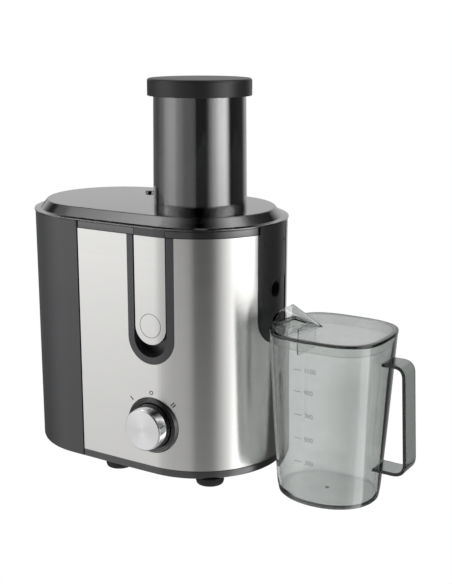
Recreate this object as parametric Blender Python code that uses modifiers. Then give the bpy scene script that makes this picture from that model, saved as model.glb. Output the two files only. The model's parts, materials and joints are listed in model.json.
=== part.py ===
"""Centrifugal juicer with its juice jug, as separate sub-parts.

Body frame while modelling: millimetres, X along the body (pulp container at -X, spout at +X),
-Y is the side with the switch knob, +Z is up and the table is z = 0. The whole model is then
moved so that the centre of the bottom of its bounding box is the origin.
"""
import math

import bmesh
import bpy
from mathutils import Matrix, Vector

MM = 0.001
GAP = 0.3                      # clearance left between neighbouring pieces

# ---- driving dimensions (mm) ----
END_RADIUS = 90.0              # round ends of the body's plan
HALF_STRAIGHT = 57.7           # half of the straight part of the plan
SIDE_BULGE = 0.036             # extra width of the slightly bowed long sides
FOOT_HEIGHT = 7.6
BAND_TOP = 16.2                # black base band below the steel
STEEL_TOP = 262.8
RIM_TOP = 270.3                # top of housing rim, container and end panel
LID_TOP = 281.7
LID_SKIN = 2.4
DRIVE_X = 53.9                 # motor, basket and feed tube axis
SPLIT_X = -39.2                # joint between container and motor housing
TUBE_RADIUS = 49.7
TUBE_TOP = 402.0
CAP_RADIUS = 54.7
CAP_BOTTOM = 397.2
CAP_TOP = 415.2
DECK_Z = 188.0                 # underside of the deck above the motor
BOWL_RADIUS = 74.0
LATCH_X = 53.0
LATCH_HALF = 18.4              # half width of the latch tongue
LATCH_BOTTOM = 149.8
LATCH_PIVOT_Z = 205.0
LATCH_PIVOT_Y = 87.5
BEZEL_HALF = 27.2              # half width of the U trim round a latch
BEZEL_WALL = 7.5
BEZEL_BOTTOM = 128.9
POCKET_FACE_Y = 78.6           # depth to which the latch pocket is sunk
SPOUT_Z = 201.6
SPOUT_RADIUS = 9.5
SPOUT_HALF = 29.0
SPOUT_BOTTOM = 144.5
SPLIT_Z = 212.4                # joint between collector end panel and lower panel
KNOB_X = 53.6
KNOB_Z = 62.3
KNOB_RADIUS = 22.3
KNOB_FACE_Y = 110.9
DIAL_RADIUS = 30.0
JUG_X = 221.8                  # centre of the jug's base
JUG_Y = -16.2
JUG_LEAN = 1.4                 # how far the centre of its rim is offset
JUG_BASE = (52.5, 45.4)
JUG_RIM = (59.6, 54.7)
JUG_HEIGHT = 171.8
JUG_LID_TOP = 174.6
JUG_WALL = 2.5
HANDLE_Y = -15.2               # middle of the handle's strap
HANDLE_HALF_WIDTH = 13.2
HANDLE_THICK = 3.5
HOOD_HALF, HOOD_HEIGHT = 22.0, 17.5
HOOD_MOUTH_X, HOOD_TIP_X = 164.6, 211.5
HOOD_LEAN = 9.0                # how far the top of the hood's mouth leans inboard
HOOD_SQUARE = 2.3              # 2 is a plain half ellipse, more is squarer
FOOT_PLACES = {"front_right": (106.0, -63.0), "front_left": (-3.0, -76.0),
               "back_right": (106.0, 63.0), "back_left": (-3.0, 76.0)}
BODY_LEFT = -(END_RADIUS + HALF_STRAIGHT)
HANDLE_OUT_X = 310.7           # outermost X of the jug handle
GLAND_OUT_Y = 99.0
FRAME_SHIFT = (-(BODY_LEFT - 1.0 + HANDLE_OUT_X) / 2, -(GLAND_OUT_Y - KNOB_FACE_Y) / 2, 0.0)

FAN_BLADES = 7
PLUNGER_X, PLUNGER_Y = -20.0, -86.2    # interlock rod behind the front wall
BOSS_X, BOSS_Y = -44.0, 44.0           # small boss moulded on the lid

FINE, MEDIUM, COARSE = 28, 20, 12   # steps round turned pieces

parts = None
cutters = None
pivots = {}


# ---- helpers ----
def clear_scene():
    for obj in list(bpy.data.objects):
        bpy.data.objects.remove(obj)


def new_collection(name):
    collection = bpy.data.collections.new(name)
    bpy.context.scene.collection.children.link(collection)
    return collection


def material(name, colour, roughness, metallic=0.0, alpha=1.0):
    mat = bpy.data.materials.new(name)
    mat.use_nodes = True
    shader = mat.node_tree.nodes["Principled BSDF"]
    shader.inputs["Base Color"].default_value = (*colour, 1.0)
    shader.inputs["Roughness"].default_value = roughness
    shader.inputs["Metallic"].default_value = metallic
    shader.inputs["Alpha"].default_value = alpha
    return mat


LOOKS = {
    "steel": ((0.62, 0.61, 0.58), 0.30, 1.0),
    "black": ((0.035, 0.036, 0.038), 0.42),
    "charcoal": ((0.075, 0.077, 0.08), 0.45),
    "gloss": ((0.015, 0.015, 0.017), 0.12),
    "smoke": ((0.05, 0.055, 0.055), 0.08, 0.0, 0.75),
    "jug": ((0.55, 0.60, 0.57), 0.05, 0.0, 0.35),
    "rubber": ((0.02, 0.02, 0.02), 0.8),
    "chrome": ((0.75, 0.75, 0.76), 0.12, 1.0),
    "metal": ((0.45, 0.45, 0.46), 0.35, 1.0),
    "copper": ((0.72, 0.38, 0.20), 0.35, 1.0),
    "white": ((0.80, 0.80, 0.78), 0.4),
    "board": ((0.10, 0.25, 0.12), 0.5),
}


def register(obj, look, pivot=None):
    """Give a finished sub-part its material and its place in the tree."""
    obj.data.materials.clear()
    obj.data.materials.append(material("mat_" + obj.name, *LOOKS[look]))
    parts.objects.link(obj)
    for other in list(obj.users_collection):
        if other is not parts:
            other.objects.unlink(obj)
    empty = pivots[pivot or "juicer_frame"]
    obj.parent = empty
    obj.matrix_parent_inverse = Matrix.Translation(empty_place(empty)).inverted()
    return obj


def empty_place(empty):
    place = Vector(empty.location)
    while empty.parent:
        empty = empty.parent
        place += empty.location
    return place


def add_pivot(name, x, y, z, parent="juicer_frame"):
    empty = bpy.data.objects.new(name, None)
    parts.objects.link(empty)
    place = Vector((x, y, z)) * MM
    if parent:
        empty.parent = pivots[parent]
        place -= empty_place(pivots[parent])
    empty.location = place
    pivots[name] = empty


def as_cutter(obj):
    obj.hide_render = True
    obj.display_type = "WIRE"
    if obj.name not in cutters.objects:
        cutters.objects.link(obj)
    for other in list(obj.users_collection):
        if other is not cutters:
            other.objects.unlink(obj)
    obj.parent = pivots["juicer_frame"]
    return obj


def boolean(target, other, operation="DIFFERENCE"):
    mod = target.modifiers.new(operation.lower(), "BOOLEAN")
    mod.operation = operation
    mod.object = as_cutter(other)
    return target


def cut(target, *others):
    for other in others:
        boolean(target, other)
    return target


def join(target, *others):
    for other in others:
        boolean(target, other, "UNION")
    return target


def mesh_object(name, bm, sharp=35.0):
    bmesh.ops.scale(bm, vec=(MM, MM, MM), verts=bm.verts)
    mesh = bpy.data.meshes.new(name)
    bm.to_mesh(mesh)
    bm.free()
    mesh.shade_smooth()
    mesh.set_sharp_from_angle(angle=math.radians(sharp))
    obj = bpy.data.objects.new(name, mesh)
    bpy.context.scene.collection.objects.link(obj)
    return obj


def box(name, low, high):
    bm = bmesh.new()
    size = [h - l for l, h in zip(low, high)]
    middle = [(h + l) / 2 for l, h in zip(low, high)]
    bmesh.ops.create_cube(bm, size=1.0)
    bmesh.ops.scale(bm, vec=size, verts=bm.verts)
    bmesh.ops.translate(bm, vec=middle, verts=bm.verts)
    return mesh_object(name, bm)


def rod(name, start, end, radius, segments=COARSE, end_radius=None):
    """A round bar, or a cone, between two points."""
    start, end = Vector(start), Vector(end)
    bm = bmesh.new()
    bmesh.ops.create_cone(bm, cap_ends=True, segments=segments, radius1=radius,
                          radius2=radius if end_radius is None else end_radius,
                          depth=(end - start).length)
    turn = Vector((0, 0, 1)).rotation_difference(end - start).to_matrix()
    bmesh.ops.rotate(bm, matrix=turn, verts=bm.verts)
    bmesh.ops.translate(bm, vec=(start + end) / 2, verts=bm.verts)
    return mesh_object(name, bm)


def plate(name, loops, low, high, axis="Z"):
    """A flat outline, with any holes in it, extruded from low to high along an axis."""
    curve = bpy.data.curves.new(name, "CURVE")
    curve.dimensions = "2D"
    curve.fill_mode = "BOTH"
    curve.extrude = (high - low) / 2 * MM
    for loop in loops:
        spline = curve.splines.new("POLY")
        spline.points.add(len(loop) - 1)
        spline.use_cyclic_u = True
        for point, (u, v) in zip(spline.points, loop):
            point.co = (u * MM, v * MM, 0.0, 1.0)
    flat = bpy.data.objects.new(name + "_outline", curve)
    bpy.context.scene.collection.objects.link(flat)
    graph = bpy.context.evaluated_depsgraph_get()
    mesh = bpy.data.meshes.new_from_object(flat.evaluated_get(graph))
    bpy.data.objects.remove(flat)
    bm = bmesh.new()
    bm.from_mesh(mesh)
    bmesh.ops.remove_doubles(bm, verts=bm.verts, dist=0.00001)
    bmesh.ops.translate(bm, vec=(0, 0, (low + high) / 2 * MM), verts=bm.verts)
    if axis == "Y":            # outline is drawn in X, Z
        bmesh.ops.rotate(bm, matrix=Matrix.Rotation(math.pi / 2, 3, "X"), verts=bm.verts)
        bmesh.ops.translate(bm, vec=(0, (low + high) * MM, 0), verts=bm.verts)
    if axis == "X":            # outline is drawn in Y, Z
        turn = Matrix(((0, 0, 1), (1, 0, 0), (0, 1, 0)))
        bmesh.ops.rotate(bm, matrix=turn, verts=bm.verts)
    bmesh.ops.scale(bm, vec=(1 / MM, 1 / MM, 1 / MM), verts=bm.verts)
    return mesh_object(name, bm)


def turned(name, profile, x=DRIVE_X, y=0.0, steps=MEDIUM, closed=True):
    """Turn a (radius, z) profile round a vertical axis; it runs down its outer side."""
    mesh = bpy.data.meshes.new(name)
    points = [(r * MM, 0.0, z * MM) for r, z in profile]
    edges = [(i, i + 1) for i in range(len(points) - 1)]
    if closed:
        edges.append((len(points) - 1, 0))
    mesh.from_pydata(points, edges, [])
    obj = bpy.data.objects.new(name, mesh)
    bpy.context.scene.collection.objects.link(obj)
    obj.location = (x * MM, y * MM, 0.0)
    screw = obj.modifiers.new("turn", "SCREW")
    screw.steps = screw.render_steps = steps
    screw.use_merge_vertices = True
    screw.merge_threshold = 0.00001
    screw.use_smooth_shade = True
    return obj


def turned_outward(name, profile, x, z, steps=MEDIUM, side=-1, closed=True):
    """Turn a (radius, distance) profile round an axis along Y, distances measured outwards."""
    obj = turned(name, profile, 0.0, 0.0, steps, closed)
    obj.location = (x * MM, 0.0, z * MM)
    obj.rotation_euler = (-side * math.pi / 2, 0.0, 0.0)
    return obj


def loft(name, rings, sharp=35.0):
    """Skin a stack of rings that all have the same number of points, with flat end caps."""
    bm = bmesh.new()
    rows = [[bm.verts.new(p) for p in ring] for ring in rings]
    count = len(rows[0])
    for lower, upper in zip(rows, rows[1:]):
        for i in range(count):
            j = (i + 1) % count
            bm.faces.new((lower[i], lower[j], upper[j], upper[i]))
    bm.faces.new(rows[0][::-1])
    bm.faces.new(rows[-1])
    bmesh.ops.recalc_face_normals(bm, faces=bm.faces)
    bmesh.ops.triangulate(bm, faces=[f for f in bm.faces if len(f.verts) > 4])
    return mesh_object(name, bm, sharp)


# ---- outlines ----
def body_outline(inset=0.0, arc_steps=12, side_steps=3):
    """Plan of the body, drawn in by inset, anticlockwise."""
    radius = END_RADIUS - inset
    reach = HALF_STRAIGHT + radius
    points = []
    for side in (1, -1):
        for i in range(arc_steps + 1):
            a = -math.pi / 2 + math.pi * i / arc_steps
            points.append((side * (HALF_STRAIGHT + radius * math.cos(a)), side * radius * math.sin(a)))
        for i in range(1, side_steps):
            points.append((side * HALF_STRAIGHT * (1 - 2 * i / side_steps), side * radius))
    return [(x, y * (1 + SIDE_BULGE * (1 - (x / reach) ** 2))) for x, y in points]


def clipped(points, x_cut, keep_right=True):
    """The part of an outline on one side of the line x = x_cut."""
    sign = 1 if keep_right else -1
    kept = []
    for (ax, ay), (bx, by) in zip(points, points[1:] + points[:1]):
        inside_a, inside_b = sign * (ax - x_cut) >= 0, sign * (bx - x_cut) >= 0
        if inside_a:
            kept.append((ax, ay))
        if inside_a != inside_b:
            t = (x_cut - ax) / (bx - ax)
            kept.append((x_cut, ay + t * (by - ay)))
    return kept


def housing_outline(inset, left=SPLIT_X + 0.9):
    return clipped(body_outline(inset), left)


def container_outline(inset, right=SPLIT_X - 0.8):
    return clipped(body_outline(inset), right, keep_right=False)


def u_shape(centre, half, bottom, top, steps=12):
    """Outline of an upright slot with a half-round bottom."""
    points = [(centre + half, top), (centre - half, top)]
    for i in range(steps + 1):
        a = math.pi + math.pi * i / steps
        points.append((centre + half * math.cos(a), bottom + half + half * math.sin(a)))
    return points


def superellipse(cx, cy, ax, ay, power, z, count=32):
    ring = []
    for i in range(count):
        a = 2 * math.pi * i / count
        c, s = math.cos(a), math.sin(a)
        ring.append((cx + ax * math.copysign(abs(c) ** (2 / power), c),
                     cy + ay * math.copysign(abs(s) ** (2 / power), s), z))
    return ring


def wall_slice(name, inset_out, inset_in, low, high):
    """A band of the body's wall between two insets."""
    return plate(name, [body_outline(inset_out), body_outline(inset_in)], low, high)


def latch_block(name, half, bottom, top, side, near, far):
    """A U-shaped prism through the wall at a latch, from distance near to far from the X axis."""
    low, high = sorted((side * near, side * far))
    return plate(name, [u_shape(LATCH_X, half, bottom, top)], low, high, "Y")


def side_box(name, side, half, distances, heights):
    """A box centred on a latch, between two distances from the X axis."""
    near, far = sorted(side * d for d in distances)
    return box(name, (LATCH_X - half, near, heights[0]), (LATCH_X + half, far, heights[1]))


def spout_block(name, half, bottom, top, near, far):
    return plate(name, [u_shape(0.0, half, bottom, top)], near, far, "X")


# ---- motor housing group ----
def base_tray():
    tray = plate("base_tray", [housing_outline(0.0)], FOOT_HEIGHT, BAND_TOP)
    hollow = plate("cut_tray", [housing_outline(2.6, SPLIT_X + 3.4)], FOOT_HEIGHT + 2.5, BAND_TOP + 1)
    lip = box("tray_lip", (SPLIT_X - 22, -50, 10.6), (SPLIT_X + 2.5, 50, 13.4))
    slots = [box(f"cut_vent_{i}", (DRIVE_X - 24 + 11 * i, -26, 5), (DRIVE_X - 20 + 11 * i, 26, 12))
             for i in range(5)]
    holes = [rod(f"cut_screw_{name}", (x, y, 5), (x, y, 20), 2.3, 12)
             for name, (x, y) in FOOT_PLACES.items()]
    join(tray, lip)
    cut(tray, hollow, *slots, *holes)
    return register(tray, "black")


def steel_wrap():
    wrap = plate("steel_wrap", [housing_outline(0.0)], BAND_TOP + GAP, STEEL_TOP - GAP)
    inner = plate("cut_wrap", [housing_outline(0.8, SPLIT_X - 20)], BAND_TOP - 5, STEEL_TOP + 5)
    cut(wrap, inner)
    for side, tag in ((-1, "front"), (1, "back")):
        cut(wrap, latch_block(f"cut_wrap_{tag}", BEZEL_HALF + GAP, BEZEL_BOTTOM - GAP, 300, side, 60, 110))
    cut(wrap, spout_block("cut_wrap_spout", SPOUT_HALF + GAP, SPOUT_BOTTOM - GAP, 300, 100, 160))
    cut(wrap, rod("cut_wrap_dial", (KNOB_X, -110, KNOB_Z), (KNOB_X, -60, KNOB_Z), DIAL_RADIUS + GAP, MEDIUM))
    cut(wrap, rod("cut_wrap_gland", (20, 60, 40), (20, 110, 40), 8.6, COARSE))
    return register(wrap, "steel")


def motor_housing():
    shell = plate("motor_housing", [housing_outline(1.1)], BAND_TOP + GAP, STEEL_TOP)
    rim = plate("housing_rim", [housing_outline(0.0)], STEEL_TOP, RIM_TOP)
    lower = plate("cut_lower_room", [housing_outline(3.7, SPLIT_X + 3.4)], BAND_TOP - 2, DECK_Z)
    upper = plate("cut_upper_room", [housing_outline(4.6, SPLIT_X + 3.4)], DECK_Z + 4, RIM_TOP + 5)
    join(shell, rim)
    cut(shell, lower, upper)
    for side, tag in ((-1, "front"), (1, "back")):
        cut(shell, latch_block(f"cut_pocket_{tag}", 22.4, 133.4, STEEL_TOP, side, 60, 110),
            latch_block(f"cut_head_{tag}", LATCH_HALF + 0.5, LATCH_BOTTOM, 300, side, 60, 110))
    cut(shell, spout_block("cut_end_opening", SPOUT_HALF + GAP, SPOUT_BOTTOM - GAP, 300, 120, 160))
    cut(shell, box("cut_pulp_way", (SPLIT_X - 5, -88.3, STEEL_TOP - 0.3), (SPLIT_X + 6, 88.3, 300)))
    cut(shell, rod("cut_dial", (KNOB_X, -110, KNOB_Z), (KNOB_X, -60, KNOB_Z), DIAL_RADIUS + GAP, MEDIUM))
    cut(shell, rod("cut_gland", (20, 60, 40), (20, 110, 40), 8.6, COARSE))
    cut(shell, rod("cut_shaft", (DRIVE_X, 0, 180), (DRIVE_X, 0, 200), 20.0, MEDIUM))
    cut(shell, rod("cut_plunger", (PLUNGER_X, PLUNGER_Y, 180), (PLUNGER_X, PLUNGER_Y, 200), 2.2, 12))
    return register(shell, "black")


def foot(tag, x, y):
    profile = [(14.2, FOOT_HEIGHT - GAP), (15.0, 3.0), (14.0, 0.0), (6.0, 0.0), (6.0, 3.4), (2.3, 3.4),
               (2.3, FOOT_HEIGHT - GAP)]
    register(turned(f"foot_{tag}", profile, x, y, COARSE), "rubber")
    screw = [(0.0, 13.5), (1.9, 13.5), (1.9, 3.1), (4.4, 3.1), (4.4, 1.2), (0.0, 1.2)]
    register(turned(f"screw_{tag}", screw, x, y, 12, closed=False), "metal")


def cord_gland():
    profile = [(5.0, GLAND_OUT_Y), (8.2, GLAND_OUT_Y - 2.5), (8.2, 84.0), (3.8, 84.0), (3.8, GLAND_OUT_Y)]
    return register(turned_outward("cord_gland", profile, 20.0, 40.0, COARSE, side=1), "rubber")


# ---- latches ----
def latch_bezel(tag, side):
    """U trim with the blind pocket in which the latch tongue rocks."""
    bezel = wall_slice(f"latch_bezel_{tag}", -0.6, 0.8, 120, STEEL_TOP - GAP)
    boolean(bezel, latch_block(f"keep_bezel_{tag}", BEZEL_HALF, BEZEL_BOTTOM, 300, side, 60, 110), "INTERSECT")
    back = latch_block(f"pocket_{tag}", 22.0, 133.8, STEEL_TOP - GAP, side, POCKET_FACE_Y - 2.0, 91.0)
    boolean(back, wall_slice(f"keep_pocket_{tag}", 0.3, 40, 120, 280), "INTERSECT")
    join(bezel, back)
    inner = latch_block(f"cut_bezel_{tag}", BEZEL_HALF - BEZEL_WALL, BEZEL_BOTTOM + BEZEL_WALL, 300, side,
                        POCKET_FACE_Y, 110)
    pin_way = rod(f"cut_pin_{tag}", (LATCH_X - 30, side * LATCH_PIVOT_Y, LATCH_PIVOT_Z),
                  (LATCH_X + 30, side * LATCH_PIVOT_Y, LATCH_PIVOT_Z), 1.9, 12)
    cut(bezel, inner, pin_way)
    return register(bezel, "charcoal")


def latch(tag, side):
    """Rocking tongue: steel face plate, body with a hooked head, hinge pin and torsion spring."""
    y_pin = side * LATCH_PIVOT_Y
    body = wall_slice(f"latch_{tag}", 1.1, 4.6, 140, RIM_TOP)
    boolean(body, latch_block(f"keep_latch_{tag}", LATCH_HALF, LATCH_BOTTOM, 300, side, 60, 110), "INTERSECT")
    head = wall_slice(f"head_{tag}", 0.0, 3.0, STEEL_TOP, RIM_TOP)
    boolean(head, latch_block(f"keep_head_{tag}", LATCH_HALF, LATCH_BOTTOM, 300, side, 60, 110), "INTERSECT")
    lugs = side_box(f"lugs_{tag}", side, 16.5, (84.2, 90.0), (LATCH_PIVOT_Z - 3.4, LATCH_PIVOT_Z + 3.4))
    hook = side_box(f"hook_{tag}", side, 7.0, (86.6, 90.0), (265.2, 267.6))
    pin_way = rod(f"cut_lug_{tag}", (LATCH_X - 30, y_pin, LATCH_PIVOT_Z), (LATCH_X + 30, y_pin, LATCH_PIVOT_Z),
                  1.9, 12)
    room = side_box(f"cut_spring_{tag}", side, 5.5, (80.0, 91.2), (LATCH_PIVOT_Z - 4.2, LATCH_PIVOT_Z + 4.2))
    join(body, head, lugs, hook)
    cut(body, pin_way, room)
    register(body, "charcoal", f"latch_{tag}_pivot")

    face = wall_slice(f"latch_face_{tag}", 0.0, 0.8, 140, STEEL_TOP - GAP)
    boolean(face, latch_block(f"keep_face_{tag}", LATCH_HALF, LATCH_BOTTOM, 300, side, 60, 110), "INTERSECT")
    register(face, "steel", f"latch_{tag}_pivot")

    register(rod(f"latch_pin_{tag}", (LATCH_X - 21.5, y_pin, LATCH_PIVOT_Z),
                 (LATCH_X + 21.5, y_pin, LATCH_PIVOT_Z), 1.5, 12), "metal")
    coil = rod(f"latch_spring_{tag}", (LATCH_X - 4.6, y_pin, LATCH_PIVOT_Z), (LATCH_X + 4.6, y_pin, LATCH_PIVOT_Z),
               2.9, 12)
    cut(coil, rod(f"cut_coil_{tag}", (LATCH_X - 9, y_pin, LATCH_PIVOT_Z), (LATCH_X + 9, y_pin, LATCH_PIVOT_Z),
                  1.9, 12))
    register(coil, "metal")


# ---- spout end ----
def spout_bezel():
    """Frame and recessed lower panel, open upwards so that the collector lifts out."""
    frame = wall_slice("spout_bezel", -0.3, 4.3, SPOUT_BOTTOM - 10, STEEL_TOP - GAP)
    boolean(frame, spout_block("keep_end", SPOUT_HALF, SPOUT_BOTTOM, 300, 100, 160), "INTERSECT")
    recess = wall_slice("end_recess", -5, 0.5, SPOUT_BOTTOM - 10, 300)
    boolean(recess, spout_block("keep_recess", SPOUT_HALF - 2.3, SPOUT_BOTTOM + 2.3, 300, 100, 170), "INTERSECT")
    notch = spout_block("cut_nozzle", SPOUT_RADIUS + GAP, SPOUT_Z - SPOUT_RADIUS - GAP, 300, 100, 170)
    way = box("cut_panel_way", (100, -(SPOUT_HALF - 2.3), SPLIT_Z), (170, SPOUT_HALF - 2.3, 300))
    cut(frame, recess, notch, way)
    return register(frame, "charcoal")


def juice_collector():
    """Bowl round the basket, with the hole in its wall that the spout plugs into."""
    r = BOWL_RADIUS
    bowl = turned("juice_collector", [(r, 262), (r, 193), (18, 193), (18, 214), (20, 214), (20, 195.5),
                                      (r - 2, 195.5), (r - 2, 262)], steps=FINE)
    cut(bowl, rod("cut_spout_seat", (DRIVE_X + r - 3.4, 0, SPOUT_Z), (DRIVE_X + r + 6, 0, SPOUT_Z),
                  SPOUT_RADIUS + GAP, COARSE))
    return register(bowl, "charcoal", "collector_place")


def collector_spout():
    """Spout tube with the end panel above it, carried by the bowl."""
    r = BOWL_RADIUS
    spout = rod("collector_spout", (DRIVE_X + r - 3.0, 0, SPOUT_Z), (147.0, 0, SPOUT_Z), SPOUT_RADIUS, COARSE)
    plug = box("plug", (140.0, -SPOUT_RADIUS, SPOUT_Z), (146.9, SPOUT_RADIUS, SPLIT_Z + 3))
    panel = wall_slice("end_panel", 0.0, 3.0, SPLIT_Z + GAP, RIM_TOP)
    boolean(panel, box("keep_panel", (100, -26.3, 200), (170, 26.3, 290)), "INTERSECT")
    web = box("web", (DRIVE_X + r + 1, -20, 250), (146, 20, 252.5))
    bore = rod("cut_spout", (DRIVE_X + r - 12, 0, SPOUT_Z), (160, 0, SPOUT_Z), SPOUT_RADIUS - 1.2, COARSE)
    join(spout, plug, panel, web)
    cut(spout, bore)
    return register(spout, "charcoal", "collector_place")


def collector_seal():
    r = BOWL_RADIUS
    ring = [(r + 0.4, 264), (r + 0.4, 262.3), (r - 2.4, 262.3), (r - 2.4, 264)]
    return register(turned("collector_seal", ring, steps=FINE), "rubber", "collector_place")


# ---- filter basket ----
def basket():
    hub = turned("basket_hub", [(0, 221), (53, 221), (53, 216), (25, 216), (25, 204), (22.5, 204),
                                (22.5, 216), (16, 216), (16, 204), (0, 204)], closed=False)
    cut(hub, rod("cut_socket", (DRIVE_X, 0, 190), (DRIVE_X, 0, 214.6), 11.6, 6))
    register(hub, "white", "drive_axis")
    disc = [(0, 223.0), (50, 223.0), (50, 221.3), (0, 221.3)]
    register(turned("grater_disc", disc, closed=False), "metal", "drive_axis")
    cone = [(66.5, 257), (52.5, 221.3), (51.5, 221.3), (65.5, 257)]
    register(turned("filter_mesh", cone, steps=FINE), "metal", "drive_axis")
    ring = [(68.5, 263.5), (68.5, 257.3), (64.6, 257.3), (64.6, 263.5)]
    register(turned("basket_rim", ring, steps=FINE), "white", "drive_axis")


# ---- drive ----
def motor():
    stator = [(44, 138), (44, 88), (26, 88), (26, 138)]
    register(turned("motor_stator", stator), "metal")
    register(turned("rotor_core", [(24, 136), (24, 90), (4.4, 90), (4.4, 136)]), "copper", "drive_axis")
    register(turned("commutator", [(11, 84), (11, 68), (4.4, 68), (4.4, 84)], steps=COARSE), "copper", "drive_axis")
    shaft = [(0, 206), (4, 206), (4, 36), (0, 36)]
    register(turned("motor_shaft", shaft, steps=COARSE, closed=False), "metal", "drive_axis")
    coupling = rod("drive_coupling", (DRIVE_X, 0, 196), (DRIVE_X, 0, 213), 10.8, 6)
    cut(coupling, rod("cut_coupling", (DRIVE_X, 0, 190), (DRIVE_X, 0, 206.4), 4.4, COARSE))
    register(coupling, "black", "drive_axis")
    register(turned("shaft_seal", [(19.4, 192.6), (19.4, 188.2), (5.0, 188.2), (5.0, 192.6)]), "rubber")
    for tag, low in (("upper", 147.0), ("lower", 59.0)):
        ring = [(10.5, low + 7), (10.5, low), (4.4, low), (4.4, low + 7)]
        register(turned(f"bearing_{tag}", ring, steps=COARSE), "metal")
    for tag, side in (("left", -1), ("right", 1)):
        ends = sorted((DRIVE_X + side * 11.6, DRIVE_X + side * 26))
        register(box(f"brush_{tag}", (ends[0], -4, 72), (ends[1], 4, 80)), "metal")


def around(radius, count, start=45.0):
    for i in range(count):
        a = math.radians(start + 360.0 * i / count)
        yield DRIVE_X + radius * math.cos(a), radius * math.sin(a)


def motor_brackets():
    lower = turned("motor_bracket_lower", [(52, 61), (52, 58), (4.9, 58), (4.9, 58.7), (11, 58.7), (11, 66.5),
                                           (14, 66.5), (14, 61)])
    posts = [rod(f"post_{i}", (x, y, 60), (x, y, 145.7), 2.5, 8) for i, (x, y) in enumerate(around(48.5, 4))]
    join(lower, *posts)
    cut(lower, *[rod(f"cut_air_low_{i}", (x, y, 50), (x, y, 64), 9, 8)
                 for i, (x, y) in enumerate(around(30, 4, 0))])
    register(lower, "metal")
    upper = turned("motor_bracket_upper", [(52, 149), (52, 146), (4.9, 146), (4.9, 146.7), (11, 146.7),
                                           (11, 154.5), (14, 154.5), (14, 149)])
    posts = [rod(f"hanger_{i}", (x, y, 148), (x, y, DECK_Z - GAP), 4, 8)
             for i, (x, y) in enumerate(around(42, 4))]
    join(upper, *posts)
    cut(upper, *[rod(f"cut_air_up_{i}", (x, y, 140), (x, y, 152), 9, 8)
                 for i, (x, y) in enumerate(around(30, 4, 0))])
    register(upper, "metal")


def cooling_fan():
    fan = turned("cooling_fan", [(42, 40), (42, 38), (4.4, 38), (4.4, 54), (9, 54), (9, 40)])
    for i in range(FAN_BLADES):
        a = 2 * math.pi * i / FAN_BLADES
        blade = box(f"blade_{i}", (14, -0.8, 39), (40, 0.8, 52))
        blade.data.transform(Matrix.Translation((DRIVE_X * MM, 0, 0)) @ Matrix.Rotation(a, 4, "Z"))
        join(fan, blade)
    return register(fan, "white", "drive_axis")


def speed_board():
    return register(box("speed_board", (-31.0, -30, 30), (-29.4, 30, 100)), "board")


# ---- switch ----
def dial():
    bezel = turned_outward("dial_bezel", [(29.0, 95.2), (DIAL_RADIUS, 94.2), (DIAL_RADIUS, 84.5), (3.8, 84.5),
                                          (3.8, 87.6), (24.4, 87.6), (24.4, 93.6), (25.6, 94.6)], KNOB_X, KNOB_Z)
    register(bezel, "gloss")
    r = KNOB_RADIUS
    knob = turned_outward("knob", [(0, 110.3), (r - 0.5, 110.3), (r, 109.7), (r + 1.4, 95.0), (r + 1.4, 88.2),
                                   (3.2, 88.2), (3.2, 76.0), (0, 76.0)], KNOB_X, KNOB_Z, closed=False)
    register(knob, "chrome", "knob_axis")
    face = turned_outward("knob_face", [(0, KNOB_FACE_Y), (r - 0.9, KNOB_FACE_Y), (r - 0.9, 110.6), (0, 110.6)],
                          KNOB_X, KNOB_Z, closed=False)
    register(face, "metal", "knob_axis")
    switch = box("rotary_switch", (KNOB_X - 13, -84.0, KNOB_Z - 13), (KNOB_X + 13, -68.0, KNOB_Z + 13))
    cut(switch, rod("cut_switch", (KNOB_X, -90, KNOB_Z), (KNOB_X, -75, KNOB_Z), 3.8, 12))
    register(switch, "black")


# ---- lid interlock ----
def interlock():
    switch = box("interlock_switch", (PLUNGER_X - 9, PLUNGER_Y - 3.0, 136), (PLUNGER_X + 9, PLUNGER_Y + 9, 149.7))
    register(switch, "black")
    rod_profile = [(0, 262.6), (1.4, 262.6), (1.4, 172.4), (2.6, 172.4), (2.6, 170.3), (1.4, 170.3), (1.4, 154.5),
                   (0, 154.5)]
    register(turned("interlock_plunger", rod_profile, PLUNGER_X, PLUNGER_Y, 12, closed=False), "white",
             "plunger_place")
    coil = [(2.6, 170.0), (2.6, 150.0), (1.8, 150.0), (1.8, 170.0)]
    register(turned("interlock_spring", coil, PLUNGER_X, PLUNGER_Y, 12), "metal")


# ---- lid, feed tube and pusher ----
def ring3(inset, z):
    return [(x, y, z) for x, y in body_outline(inset)]


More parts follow.
